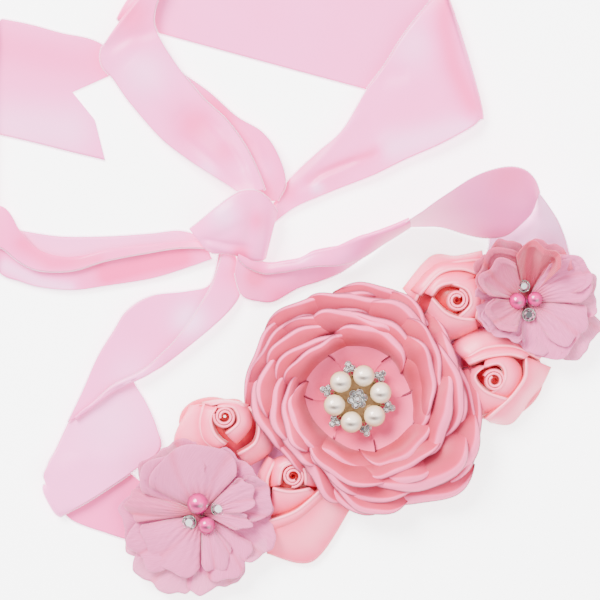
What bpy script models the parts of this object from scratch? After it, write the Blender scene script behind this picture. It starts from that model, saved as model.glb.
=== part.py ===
"""Satin sash with a spray of satin and chiffon flowers, tied and laid flat.

The ribbon is one 40 mm satin strip. Each stretch that shows between two folds is its own solid:
a short table gives one row a station, and each row holds the points where the edges and the
lengthwise folds of the ribbon cross it. Petal rings, rosettes and jewels sit on the belt stretch.
Plan positions are in millimetres from the middle of the laid-out sash, +X right, +Y up, +Z to the eye.
"""
import math

import bmesh
import bpy
from mathutils import Matrix, Vector

MM = 0.001
WALL = 1.0            # ribbon and petal wall
GAP = 0.3             # clearance between neighbouring pieces
FLOOR_MID = WALL / 2  # middle of a wall that lies on the floor
SEAM = 0.35           # what a stretch is trimmed by where it meets the next
FOLD_RADIUS = 0.8     # lengthwise fold, to the middle of the wall
ROLL_RADIUS = 2.4     # soft crosswise roll where the ribbon turns over
TIGHT_ROLL = 2.0      # the pressed roll at the left turn
LOOSE_ROLL = 2.6      # the roll at the foot of the tail's turn
FOLD_TURNS = (90, 30, -30, -90)      # degrees round a lengthwise fold
ROLL_TURNS = (-90, -45, 0, 45, 90)   # degrees round a crosswise roll
ROWS_BETWEEN = 2      # smooth rows for each row of a ribbon table
BELT_TOP = WALL
SEAT = BELT_TOP + GAP

COLOURS = {
    "ribbon": (0.96, 0.72, 0.83),
    "petal satin": (0.95, 0.47, 0.56),
    "rose satin": (1.0, 0.58, 0.66),
    "chiffon": (0.86, 0.58, 0.73),
    "ivory pearl": (0.95, 0.88, 0.80),
    "pink pearl": (0.90, 0.25, 0.58),
    "silver": (0.80, 0.80, 0.82),
    "crystal": (0.90, 0.92, 0.95),
}
FINISH = {
    "ribbon": (0.35, 0.0),
    "petal satin": (0.55, 0.0),
    "rose satin": (0.35, 0.0),
    "chiffon": (0.8, 0.0),
    "ivory pearl": (0.2, 0.0),
    "pink pearl": (0.2, 0.0),
    "silver": (0.2, 1.0),
    "crystal": (0.05, 0.0),
}


def clear_scene():
    for thing in list(bpy.data.objects):
        bpy.data.objects.remove(thing)


def material(kind):
    """One Principled material for each kind of finish."""
    found = bpy.data.materials.get(kind)
    if found:
        return found
    made = bpy.data.materials.new(kind)
    made.use_nodes = True
    shader = made.node_tree.nodes["Principled BSDF"]
    shader.inputs["Base Color"].default_value = (*COLOURS[kind], 1.0)
    shader.inputs["Roughness"].default_value = FINISH[kind][0]
    shader.inputs["Metallic"].default_value = FINISH[kind][1]
    return made


def add_object(name, bm, kind, smooth_angle=50):
    """Turns a bmesh in millimetres into a named object in metres."""
    bmesh.ops.triangulate(bm, faces=bm.faces[:], quad_method="SHORT_EDGE")
    bmesh.ops.recalc_face_normals(bm, faces=bm.faces[:])
    bmesh.ops.scale(bm, vec=(MM, MM, MM), verts=bm.verts[:])
    mesh = bpy.data.meshes.new(name)
    bm.to_mesh(mesh)
    bm.free()
    mesh.materials.append(material(kind))
    mesh.shade_smooth()
    mesh.set_sharp_from_angle(angle=math.radians(smooth_angle))
    made = bpy.data.objects.new(name, mesh)
    bpy.context.scene.collection.objects.link(made)
    return made


# Smooth curves through rows of points

def spline(p0, p1, p2, p3, t):
    """Catmull-Rom through p1 and p2."""
    return 0.5 * (
        2 * p1
        + (p2 - p0) * t
        + (2 * p0 - 5 * p1 + 4 * p2 - p3) * t * t
        + (3 * p1 - p0 - 3 * p2 + p3) * t ** 3
    )


def refine(rows, steps):
    """Adds smooth rows between the given rows of points."""
    last = len(rows) - 1
    fine = []
    for i in range(last):
        near = [rows[max(0, min(last, i + k))] for k in (-1, 0, 1, 2)]
        for step in range(steps):
            t = step / steps
            fine.append([spline(*points, t) for points in zip(*near)])
    fine.append(rows[-1])
    return fine


def wall_from_grid(grid):
    """A closed wall on both sides of a grid of mid-surface points."""
    rows, cols = len(grid), len(grid[0])
    bm = bmesh.new()
    sides = [[], []]
    for i in range(rows):
        made = ([], [])
        for j in range(cols):
            along = grid[min(i + 1, rows - 1)][j] - grid[max(i - 1, 0)][j]
            across = grid[i][min(j + 1, cols - 1)] - grid[i][max(j - 1, 0)]
            normal = along.cross(across).normalized()
            for side, sign in enumerate((1, -1)):
                made[side].append(bm.verts.new(grid[i][j] + normal * (sign * WALL / 2)))
        for side in (0, 1):
            sides[side].append(made[side])
    for i in range(rows - 1):
        k = i + 1
        for j in range(cols - 1):
            for side in sides:
                bm.faces.new((side[i][j], side[k][j], side[k][j + 1], side[i][j + 1]))
        for j in (0, cols - 1):
            bm.faces.new((sides[0][i][j], sides[0][k][j], sides[1][k][j], sides[1][i][j]))
    for i in (0, rows - 1):
        for j in range(cols - 1):
            bm.faces.new((sides[0][i][j], sides[0][i][j + 1], sides[1][i][j + 1], sides[1][i][j]))
    return bm


def trimmed(rows, start, end):
    """Moves the first and last rows in, which leaves the seam to the next stretch."""
    rows = [list(row) for row in rows]
    for edge, inner, cut in ((0, 1, start), (-1, -2, end)):
        if cut:
            rows[edge] = [p + (q - p).normalized() * SEAM for p, q in zip(rows[edge], rows[inner])]
    return rows


# Ribbon stretches

def flat_sections(table, across, bow):
    """Sections of a stretch with one layer: each row's points, joined by straight lines and bowed up."""
    rows = []
    for row in table:
        points = [Vector(p) for p in row]
        section = []
        spans = len(points) - 1
        count = across * spans
        for k in range(count + 1):
            place = k / across
            first = min(int(place), spans - 1)
            point = points[first].lerp(points[first + 1], place - first)
            share = k / count
            section.append(point + Vector((0, 0, bow * 4 * share * (1 - share))))
        rows.append(section)
    return rows


def folded_sections(table, across, bow):
    """Sections of a stretch folded lengthwise: top edge, fold line, and the edge of the layer below."""
    rows = []
    for i, row in enumerate(table):
        top, fold, under = (Vector(p) for p in row)
        ahead = Vector(table[min(i + 1, len(table) - 1)][1])
        behind = Vector(table[max(i - 1, 0)][1])
        along = (ahead - behind).normalized()
        out = fold - (top + under) / 2
        out = (out - along * out.dot(along)).normalized()
        up = out.cross(along).normalized()
        up = up if up.dot(top - under) > 0 else -up
        centre = fold - out * FOLD_RADIUS
        section = []
        start = centre + up * FOLD_RADIUS
        for k in range(across):
            share = k / across
            section.append(top.lerp(start, share) + up * (bow * 4 * share * (1 - share)))
        for turn in FOLD_TURNS:
            a = math.radians(turn)
            section.append(centre + (out * math.cos(a) + up * math.sin(a)) * FOLD_RADIUS)
        finish = centre - up * FOLD_RADIUS
        for k in range(1, across + 1):
            section.append(finish.lerp(under, k / across))
        rows.append(section)
    return rows


def roll_sections(first, second, inward, low, radius, across, rising=True):
    """The half turn where the ribbon rolls over: first and second end the outermost line in plan."""
    p, q = Vector((*first, 0)), Vector((*second, 0))
    side = Vector((*inward, 0))
    line = (q - p).normalized()
    side = (side - line * side.dot(line)).normalized()
    rows = []
    for turn in ROLL_TURNS:
        a = math.radians(turn)
        shift = side * (radius - radius * math.cos(a)) + Vector((0, 0, low + radius + radius * math.sin(a)))
        rows.append([p.lerp(q, k / across) + shift for k in range(across + 1)])
    return rows if rising else rows[::-1]


def ribbon(name, sections, start=False, end=False):
    rows = refine(trimmed(sections, start, end), ROWS_BETWEEN)
    return add_object(name, wall_from_grid(rows), "ribbon")


# Each row of a table below is a station, and its columns are the lines named above it

BELT = (
    # upper edge, lower edge
    ((-55.5, -65.0, FLOOR_MID), (-33.0, -97.5, FLOOR_MID)),
    ((5.5, -24.5, FLOOR_MID), (28.0, -57.0, FLOOR_MID)),
    ((66.5, 16.5, FLOOR_MID), (89.0, -16.5, FLOOR_MID)),
)
LEFT_TURN = (
    # upper edge, lower edge, from the belt to the left roll
    ((-55.5, -65.0, FLOOR_MID), (-33.0, -97.5, FLOOR_MID)),
    ((-63.0, -59.0, FLOOR_MID), (-52.5, -88.0, FLOOR_MID)),
    ((-69.0, -55.0, FLOOR_MID), (-67.0, -83.0, FLOOR_MID)),
    ((-77.0, -56.5, FLOOR_MID), (-76.0, -80.0, FLOOR_MID)),
    ((-84.5, -60.0, FLOOR_MID), (-80.5, -78.0, FLOOR_MID)),
    ((-89.0, -65.0, FLOOR_MID), (-83.0, -76.0, FLOOR_MID)),
)
LEFT_ROLL = ((-91.5, -66.0), (-85.5, -77.0))
LEFT_FOLD = (
    # outer edge, inner edge, from the left roll to under the left strand
    ((-90.5, -61.5, 4.4), (-76.5, -72.0, 3.6)),
    ((-89.5, -59.0, 4.0), (-67.0, -66.0, 2.8)),
    ((-88.5, -56.5, 3.4), (-59.0, -60.5, 2.2)),
    ((-86.5, -53.0, 2.8), (-49.5, -53.0, 2.0)),
    ((-83.0, -45.5, 2.2), (-50.5, -45.5, 2.0)),
    ((-78.5, -36.0, 2.0), (-54.0, -37.0, 1.9)),
    ((-73.5, -25.0, 1.8), (-58.5, -29.5, 1.8)),
    ((-68.5, -16.0, 1.6), (-61.0, -23.5, 1.6)),
)
LEFT_STRAND = (
    # top edge, fold, edge below, from the knot down to the left fold
    ((-27.0, 17.5, 4.8), (-23.0, 16.5, 3.2), (-28.5, 17.0, 2.0)),
    ((-30.5, 6.5, 5.0), (-21.0, 4.0, 2.8), (-32.0, 5.5, 2.0)),
    ((-34.5, -1.0, 5.6), (-24.5, -3.0, 3.4), (-40.5, 3.0, 3.4)),
    ((-39.0, -8.0, 5.8), (-30.0, -8.5, 3.8), (-52.5, 1.5, 4.4)),
    ((-44.0, -14.5, 5.6), (-37.0, -14.5, 4.2), (-61.0, -3.5, 4.2)),
    ((-48.0, -18.5, 5.4), (-45.5, -21.0, 4.2), (-66.0, -11.0, 3.6)),
    ((-55.0, -23.5, 5.2), (-53.0, -26.0, 4.2), (-71.5, -20.0, 3.4)),
    ((-67.5, -29.5, 5.1), (-65.0, -32.0, 4.2), (-76.5, -31.5, 3.4)),
    ((-79.0, -39.5, 5.0), (-77.0, -42.0, 4.2), (-82.0, -43.0, 3.5)),
)
RIGHT_STRAND = (
    # free edge of the flap, fold, edge below, from the knot to the waist of the right loop
    ((-17.5, 11.5, 4.6), (-17.5, 15.0, 4.2), (-18.5, 0.5, 1.8)),
    ((-13.0, 9.5, 5.2), (-12.5, 13.0, 4.8), (-14.0, -0.5, 1.8)),
    ((-7.5, 10.0, 6.0), (-7.0, 13.5, 5.6), (-9.0, -0.5, 1.8)),
    ((-0.5, 11.0, 7.2), (-0.5, 14.5, 6.6), (-1.0, 4.0, 1.8)),
    ((6.0, 12.0, 8.2), (4.5, 17.0, 8.0), (6.5, 6.5, 1.8)),
    ((14.0, 12.5, 8.6), (13.5, 19.0, 11.0), (14.0, 9.5, 1.8)),
    ((22.5, 15.0, 8.0), (21.0, 22.0, 15.0), (21.5, 14.5, 1.8)),
    ((30.5, 20.5, 8.0), (29.5, 24.5, 18.0), (30.0, 21.0, 1.8)),
    ((38.0, 25.0, 9.0), (37.0, 28.5, 20.0), (37.0, 26.5, 2.0)),
)
RIGHT_LOOP_BACK = (
    # standing edge, lower edge, from the waist round the outside of the loop
    ((38.5, 28.0, 22.0), (39.0, 26.0, 1.0)),
    ((49.5, 34.5, 28.0), (48.0, 26.0, 1.0)),
    ((59.5, 40.5, 32.0), (57.5, 23.5, 1.6)),
    ((67.5, 45.5, 33.0), (66.0, 22.0, 3.0)),
    ((73.5, 47.0, 34.0), (73.0, 23.0, 5.5)),
    ((79.5, 45.5, 35.0), (78.0, 27.5, 11.0)),
    ((82.0, 42.5, 35.5), (81.5, 31.0, 14.5)),
    ((84.5, 38.5, 34.5), (83.0, 34.0, 17.0)),
)
RIGHT_LOOP_FRONT = (
    # outer edge, inner edge, from the turn of the loop down to the belt
    ((85.0, 37.0, 34.0), (84.0, 33.5, 4.0)),
    ((87.5, 33.0, 29.0), (82.0, 31.5, 2.5)),
    ((90.5, 27.0, 20.0), (78.0, 29.5, 1.2)),
    ((94.0, 19.0, 9.0), (72.0, 26.5, 0.8)),
    ((96.0, 10.5, 2.5), (67.5, 22.5, FLOOR_MID)),
    ((96.5, 1.5, 1.0), (67.0, 19.5, FLOOR_MID)),
    ((94.0, -8.5, 0.6), (66.5, 17.5, FLOOR_MID)),
    ((89.0, -16.5, FLOOR_MID), (66.5, 16.5, FLOOR_MID)),
)
KNOT_WRAP = (
    # upper edge, lower edge, over the knot from left to right
    ((-39.0, 25.0, 5.4), (-33.5, 18.0, 5.8)),
    ((-34.5, 28.5, 8.0), (-30.5, 16.5, 6.4)),
    ((-29.5, 32.5, 10.0), (-26.0, 16.5, 6.6)),
    ((-22.5, 37.5, 11.2), (-20.0, 15.0, 6.8)),
    ((-16.0, 38.5, 11.0), (-16.5, 14.0, 6.6)),
    ((-11.0, 35.5, 9.0), (-13.5, 14.0, 5.6)),
    ((-8.0, 31.0, 5.4), (-12.0, 15.0, 3.6)),
)
LOOP_RIGHT_ROLL = ((42.0, 110.5), (65.0, 63.0))
LOOP_FRONT = (
    # upper edge, lower edge, from the right roll down to the knot
    ((37.0, 94.0, 5.6), (60.0, 59.5, 4.6)),
    ((30.0, 83.0, 5.0), (49.5, 55.0, 4.2)),
    ((23.0, 73.5, 4.4), (37.0, 49.5, 3.4)),
    ((15.0, 60.0, 4.4), (25.5, 44.0, 3.0)),
    ((6.5, 52.5, 4.0), (11.5, 38.5, 2.6)),
    ((-1.0, 45.5, 2.6), (-0.5, 33.5, 2.2)),
    ((-6.0, 39.5, 1.9), (-7.5, 28.5, 1.9)),
    ((-9.5, 33.5, 1.8), (-11.0, 25.0, 3.2)),
)
LOOP_BACK = (
    # upper edge, lower edge, along the floor from the left roll to the right roll
    ((-36.0, 132.0, FLOOR_MID), (-62.5, 98.0, FLOOR_MID)),
    ((-17.5, 127.0, FLOOR_MID), (-35.5, 90.5, FLOOR_MID)),
    ((10.5, 119.5, FLOOR_MID), (10.5, 78.0, FLOOR_MID)),
    ((38.0, 111.5, FLOOR_MID), (60.5, 63.5, FLOOR_MID)),
)
LOOP_LEFT_ROLL = ((-40.0, 133.5), (-66.5, 99.0))
LOOP_TOP = (
    # right edge, left edge, from the top roll down to the knot
    ((-43.0, 122.0, 5.5), (-68.5, 91.5, 5.3)),
    ((-48.5, 110.5, 5.6), (-70.5, 86.5, 4.6)),
    ((-51.5, 101.0, 5.6), (-69.5, 82.0, 3.8)),
    ((-50.5, 94.5, 5.2), (-66.0, 78.0, 3.2)),
    ((-43.5, 83.0, 4.6), (-60.0, 69.5, 3.2)),
    ((-34.5, 71.5, 4.6), (-49.5, 57.5, 3.6)),
    ((-26.0, 63.5, 5.6), (-39.5, 49.5, 4.8)),
    ((-19.5, 54.5, 7.2), (-31.0, 44.0, 6.4)),
    ((-15.0, 45.5, 8.2), (-24.0, 39.5, 7.6)),
    ((-12.5, 39.0, 9.2), (-20.5, 37.0, 9.0)),
)
LOOP_UNDER = (
    # right edge, left edge, the half of the loop that is folded below its top
    ((-42.0, 80.5, 2.4), (-52.5, 70.0, 1.8)),
    ((-32.0, 73.5, 2.8), (-44.5, 60.0, 2.5)),
    ((-22.5, 65.0, 3.2), (-36.0, 52.0, 2.7)),
    ((-13.5, 59.5, 4.0), (-28.0, 46.5, 3.9)),
    ((-8.0, 52.0, 4.8), (-22.0, 42.0, 5.1)),
    ((-5.0, 42.0, 4.4), (-17.5, 38.0, 5.2)),
    ((-8.0, 35.0, 3.9), (-13.5, 35.0, 4.6)),
)
SECOND_TAIL = (
    # upper edge, lower edge, on the floor to the left of the knot
    ((-33.5, 22.0, FLOOR_MID), (-31.5, 15.0, FLOOR_MID)),
    ((-42.5, 24.5, FLOOR_MID), (-42.0, 12.0, FLOOR_MID)),
    ((-53.0, 23.5, FLOOR_MID), (-52.5, 9.0, FLOOR_MID)),
    ((-68.5, 22.5, FLOOR_MID), (-68.5, 6.0, FLOOR_MID)),
    ((-85.0, 22.5, FLOOR_MID), (-85.0, 5.0, FLOOR_MID)),
    ((-99.0, 24.5, FLOOR_MID), (-98.5, 7.5, FLOOR_MID)),
    ((-106.0, 25.0, FLOOR_MID), (-105.0, 10.5, FLOOR_MID)),
)
TAIL_FOLDED = (
    # top edge, fold, edge below, from the knot out to the left
    ((-32.5, 18.5, 4.8), (-34.5, 21.0, 3.2), (-31.0, 14.5, 2.4)),
    ((-42.5, 18.5, 3.9), (-42.5, 20.5, 2.6), (-42.5, 10.5, 1.8)),
    ((-53.0, 17.0, 3.8), (-53.0, 19.5, 2.6), (-53.0, 7.5, 1.8)),
    ((-68.5, 14.0, 3.8), (-68.5, 17.5, 2.6), (-68.5, 5.0, 1.8)),
    ((-80.5, 10.5, 3.9), (-80.5, 15.0, 2.6), (-80.5, 3.5, 1.8)),
    ((-92.0, 10.5, 4.0), (-92.0, 17.5, 2.6), (-92.0, 4.5, 1.8)),
    ((-99.0, 13.5, 3.8), (-99.0, 24.5, 2.6), (-99.0, 6.5, 1.8)),
    ((-105.5, 18.5, 3.6), (-105.5, 33.0, 2.6), (-105.5, 9.0, 1.8)),
    ((-114.0, 21.0, 3.4), (-118.0, 33.0, 2.6), (-109.5, 15.5, 1.8)),
)
TURN_LOW_ROLL = ((-149.0, 49.5), (-109.0, 9.5))
TAIL_TURN = (
    # left edge, right edge, up the left side between its two rolls
    ((-149.0, 56.5, 5.2), (-109.0, 25.0, 5.4)),
    ((-149.0, 60.0, 4.4), (-109.0, 46.5, 4.8)),
    ((-149.0, 64.5, 4.6), (-109.0, 73.5, 4.4)),
)
TURN_HIGH_ROLL = ((-149.0, 69.5), (-109.0, 100.5))
TAIL_END = (
    # upper edge, middle, lower edge: the last row is the cut swallowtail
    ((-105.5, 99.5, FLOOR_MID), (-125.0, 83.5, FLOOR_MID), (-145.0, 68.0, FLOOR_MID)),
    ((-95.5, 97.5, FLOOR_MID), (-105.5, 79.5, FLOOR_MID), (-117.0, 61.0, FLOOR_MID)),
    ((-84.5, 94.5, FLOOR_MID), (-94.0, 77.0, FLOOR_MID), (-97.5, 56.5, FLOOR_MID)),
    ((-72.0, 91.5, FLOOR_MID), (-86.0, 75.0, FLOOR_MID), (-81.5, 52.5, FLOOR_MID)),
    ((-59.5, 83.0, FLOOR_MID), (-80.5, 73.5, FLOOR_MID), (-69.0, 49.5, FLOOR_MID)),
)


def make_ribbon():
    ribbon("belt", flat_sections(BELT, 2, 0))
    ribbon("left_turn", flat_sections(LEFT_TURN, 2, 0), start=True)
    roll = roll_sections(*LEFT_ROLL, (1, 0), FLOOR_MID, TIGHT_ROLL, 4)
    ribbon("left_fold", roll + flat_sections(LEFT_FOLD, 4, 0))
    ribbon("left_strand", folded_sections(LEFT_STRAND, 2, 0.2))
    ribbon("right_strand", folded_sections(RIGHT_STRAND, 2, 0.4))
    ribbon("right_loop_back", flat_sections(RIGHT_LOOP_BACK, 3, 0))
    ribbon("right_loop_front", flat_sections(RIGHT_LOOP_FRONT, 3, 0), start=True, end=True)
    ribbon("knot_wrap", flat_sections(KNOT_WRAP, 5, 2.0))
    roll = roll_sections(*LOOP_RIGHT_ROLL, (-1, 0), FLOOR_MID, ROLL_RADIUS, 4)
    ribbon("loop_front", roll + flat_sections(LOOP_FRONT, 4, 0.6))
    ribbon("loop_back", flat_sections(LOOP_BACK, 3, 0))
    roll = roll_sections(*LOOP_LEFT_ROLL, (1, 0), FLOOR_MID, ROLL_RADIUS, 4)
    ribbon("loop_top", roll + flat_sections(LOOP_TOP, 4, 0.5))
    ribbon("loop_under", flat_sections(LOOP_UNDER, 2, 0))
    ribbon("second_tail", flat_sections(SECOND_TAIL, 2, 0))
    ribbon("tail_folded", folded_sections(TAIL_FOLDED, 2, 0))
    low = roll_sections(*TURN_LOW_ROLL, (1, 0), FLOOR_MID, LOOSE_ROLL, 4)
    high = roll_sections(*TURN_HIGH_ROLL, (1, -1), FLOOR_MID, ROLL_RADIUS, 4, rising=False)
    ribbon("tail_turn", low + flat_sections(TAIL_TURN, 4, 0) + high)
    ribbon("tail_end", flat_sections(TAIL_END, 3, 0))


# Flowers and jewels

BIG_CENTRE = (20.2, -34.7)
BIG_REACH = (43.5, 38.5, 41.0, 40.0, 41.0, 42.5, 41.5, 33.5, 31.5, 39.0, 43.0, 48.5)
BIG_LAYERS = (
    # name, radius, flat part, rise, petals, turn in degrees, share of the outline's unevenness
    ("petals_outer", 40.5, 29.0, 8.5, 6, 20, 1.0),
    ("petals_second", 38.0, 27.0, 10.0, 6, 48, 0.92),
    ("petals_third", 35.3, 25.0, 10.8, 6, 5, 0.8),
    ("petals_fourth", 32.5, 23.6, 11.0, 5, 33, 0.65),
    ("petals_fifth", 29.7, 22.0, 11.0, 5, 70, 0.44),
    ("petals_sixth", 26.6, 20.4, 9.4, 5, 12, 0.4),
    ("petals_inner", 21.0, 14.0, 4.6, 6, 1, 0.15),
)
LEFT_CHIFFON_CENTRE = (-34.7, -75.4)
LEFT_CHIFFON_REACH = (28.7, 24.8, 25.5, 24.5, 28.7, 29.7, 30.8, 31.9, 29.4, 27.6, 29.0, 26.0)
LEFT_CHIFFON_LIFT = (9.0, 10.0, 10.0, 9.0, 6.5, 5.5, 5.0, 5.0, 5.0, 5.0, 5.5, 7.0)
LEFT_CHIFFON_LAYERS = (
    # name, share of the reach, flat part, share of the lift, petals, turn
    ("left_chiffon_under", 1.0, 10.0, 0.8, 6, 8),
    ("left_chiffon_middle", 0.93, 9.3, 1.0, 5, 30),
    ("left_chiffon_top", 0.8, 8.6, 1.1, 5, 62),
)
RIGHT_CHIFFON_CENTRE = (79.7, -0.4)
RIGHT_CHIFFON_REACH = (25.8, 25.5, 22.0, 21.6, 26.0, 21.0, 18.0, 18.7, 15.0, 16.0, 27.3, 26.5)
RIGHT_CHIFFON_LIFT = (7.0, 10.0, 12.0, 12.0, 12.5, 13.0, 13.0, 12.0, 10.0, 9.0, 8.0, 6.5)
RIGHT_CHIFFON_LAYERS = (
    ("right_chiffon_under", 1.0, 9.0, 0.85, 6, 25),
    ("right_chiffon_middle", 0.93, 8.3, 1.0, 5, 48),
    ("right_chiffon_top", 0.8, 7.6, 1.05, 5, 10),
)
ROSETTES = (
    # name, bud, height, turn, hand, reach east and on round by eighths
    ("rosette_upper", (55.2, 0.0), 13.0, 40, 1, (8.5, 11.0, 14.0, 18.0, 16.0, 9.5, 14.0, 12.0)),
    ("rosette_right", (68.3, -28.3), 13.0, 120, 1, (18.5, 18.0, 12.5, 8.0, 7.0, 8.5, 15.0, 16.0)),
    ("rosette_left", (-26.5, -41.0), 12.5, 200, -1, (7.5, 8.0, 8.0, 12.0, 17.0, 17.0, 12.0, 15.0)),
    ("rosette_lower", (-2.5, -62.0), 11.0, 300, -1, (8.0, 6.0, 6.0, 7.0, 9.0, 12.0, 30.0, 20.0)),
)
ROSETTE_TURNS = 3.1
ROSETTE_SECTIONS = 16           # sections a turn
ROSETTE_REACH = 18.5            # how far the last round would lean out with no neighbour
ROSETTE_FOOT = (1.5, 1.9)       # radius of the foot: at the bud, and more for each turn
ROSETTE_LIP = (1.9, 1.6, 1.3)   # radius of the lip: at the bud, for each turn, for each turn squared
ROSETTE_DROP = (0.3, 0.06)      # how the lip comes down: for each turn, share of the height a turn squared
ROSETTE_FREE = (0.6, 1.9)       # turn from which the outline is drawn in, or spread out
ROSETTE_FULL = 2.8              # turn from which the outline holds wholly
LIP_MIN = 0.4                   # least lean of a round
LIP_BEND = (0.55, 0.2)          # place and rise of the bend between foot and lip
LIP_LOW = 1.5                   # least height of a lip over its seat
BROOCH_RING = 8.4
BROOCH_PEARL = 3.85
BROOCH_PEARL_TURN = 15
BROOCH_STONE = 1.6
BROOCH_STONE_RING = 11.4
BROOCH_STONE_TURN = 45
BROOCH_STONE_DEPTH = 2.2
CLUSTER_RADIUS = 3.4
CLUSTER_DEPTH = 4.0
PLATE_WALL = 1.0
PLATE_RADIUS = 9.6
PLATE_SCALLOP = 2.3
PLATE_POINTS = 36
PEARL_SEGMENTS = 10
PEARL_RINGS = 7
STONE_SIDES = 8
STONE_PROFILE = (
    # share of the radius, share of the depth
    (0.75, 0.0),
    (1.0, 0.45),
    (1.0, 0.6),
    (0.6, 1.0),
)
BEAD_STONE_DEPTH = 3.6
LEFT_BEADS = (
    # name, kind, place from the flower's middle, radius
    ("left_pearl_large", "pink pearl", (-1.3, 3.7), 3.8),
    ("left_pearl_small", "pink pearl", (1.8, -4.0), 3.1),
    ("left_stone_lower", "crystal", (-4.4, -3.0), 2.5),
    ("left_stone_upper", "crystal", (5.9, 1.8), 2.5),
)
RIGHT_BEADS = (
    ("right_pearl_large", "pink pearl", (-3.1, 0.0), 3.0),
    ("right_pearl_small", "pink pearl", (3.1, 0.7), 2.7),
    ("right_stone_upper", "crystal", (-0.8, 5.3), 2.1),
    ("right_stone_lower", "crystal", (1.0, -4.8), 2.3),
)
EYELET = 1.0          # stitch hole in the middle of a ring of petals
PETAL_FINENESS = 4    # points between two slits
PETAL_BEND = 0.55     # where the petal's inner row of points lies between the flat part and the rim
PETAL_CURVE = 1.5     # how late a petal turns up
SLIT_WIDTH = 0.05     # of a petal's pitch
SLIT_CORNER = 0.94    # of the reach, beside a slit
SLOPE_STEP = 0.1      # for measuring the slope of a ring
BIG_SLIT = 3.5        # from the flat part to the foot of a slit
BIG_LEAN = 1.6        # how much steeper petals stand where the outline is drawn in
BIG_WAVE = 0.5
CHIFFON_SLIT = 0.72   # of the reach
CHIFFON_WAVE = 0.4


def around(values, angle):
    """Smooth value in a direction, from values spaced evenly round the circle from +X."""
    count = len(values)
    place = (angle / (2 * math.pi)) % 1 * count
    first = int(place)
    near = [values[(first + k) % count] for k in (-1, 0, 1, 2)]
    return spline(*near, place - first)


def petal_ring(name, kind, centre, base, reach, flat, lift, petals, turn, slit_share, wave):
    """One lobed ring of cloth: a flat middle, and petals that rise towards their rims."""
    def height(r, angle):
        rim, start = reach(angle), flat(angle)
        share = max(0.0, (r - start) / (rim - start))
        petal = math.cos(petals * (angle - math.radians(turn)))
        return base + lift(angle) * share ** PETAL_CURVE - wave * petal * share * share

    def surface(x, y):
        return height(math.hypot(x, y), math.atan2(y, x))

    pitch = 2 * math.pi / petals
    angles = []
    for petal in range(petals):
        slit = math.radians(turn) + (petal + 0.5) * pitch
        angles.append((slit, slit_share))
        angles.append((slit + SLIT_WIDTH * pitch, SLIT_CORNER))
        for step in range(1, PETAL_FINENESS):
            angles.append((slit + pitch * step / PETAL_FINENESS, 1.0))
        angles.append((slit + (1 - SLIT_WIDTH) * pitch, SLIT_CORNER))
    bm = bmesh.new()
    rings = []
    for angle, share in angles:
        rim = reach(angle) * share
        start = flat(angle)
        radii = (EYELET, start, start + PETAL_BEND * (rim - start), rim)
        pair = []
        for r in radii:
            x, y = r * math.cos(angle), r * math.sin(angle)
            slope_x = (surface(x + SLOPE_STEP, y) - surface(x - SLOPE_STEP, y)) / (2 * SLOPE_STEP)
            slope_y = (surface(x, y + SLOPE_STEP) - surface(x, y - SLOPE_STEP)) / (2 * SLOPE_STEP)
            normal = Vector((-slope_x, -slope_y, 1)).normalized() * (WALL / 2)
            point = Vector((centre[0] + x, centre[1] + y, surface(x, y)))
            pair.append((bm.verts.new(point + normal), bm.verts.new(point - normal)))
        rings.append(pair)
    count = len(rings)
    last = len(rings[0]) - 1
    for i in range(count):
        here, there = rings[i], rings[(i + 1) % count]
        for j in range(last):
            for side in (0, 1):
                bm.faces.new((here[j][side], there[j][side], there[j + 1][side], here[j + 1][side]))
        for j in (0, last):
            bm.faces.new((here[j][0], there[j][0], there[j][1], here[j][1]))
    return add_object(name, bm, kind)


def make_big_flower():
    """Rings of satin petals, each smaller and standing on the one below."""
    mean = sum(BIG_REACH) / len(BIG_REACH)
    for i, (name, radius, flat, rise, petals, turn, share) in enumerate(BIG_LAYERS):
        base = SEAT + WALL / 2 + i * (WALL + GAP)

        def uneven(angle, share=share):
            return 1 + (around(BIG_REACH, angle) / mean - 1) * share

        def lean(angle, rise=rise, share=share):
            return rise * (1 + BIG_LEAN * share * max(0.0, 1 - around(BIG_REACH, angle) / mean))

        def reach(angle, radius=radius):
            return radius * uneven(angle)

        def start(angle, flat=flat):
            return flat * uneven(angle)

        slit = (flat + BIG_SLIT) / radius
        petal_ring(name, "petal satin", BIG_CENTRE, base, reach, start, lean, petals, turn, slit, BIG_WAVE)


def make_chiffon(centre, reaches, lifts, layers):
    for i, (name, part, flat, rise, petals, turn) in enumerate(layers):
        base = SEAT + WALL / 2 + i * (WALL + GAP)

        def reach(angle, part=part):
            return around(reaches, angle) * part

        def start(angle, flat=flat):
            return flat

        def lift(angle, rise=rise):
            return around(lifts, angle) * rise

        petal_ring(name, "chiffon", centre, base, reach, start, lift, petals, turn, CHIFFON_SLIT, CHIFFON_WAVE)


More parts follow.
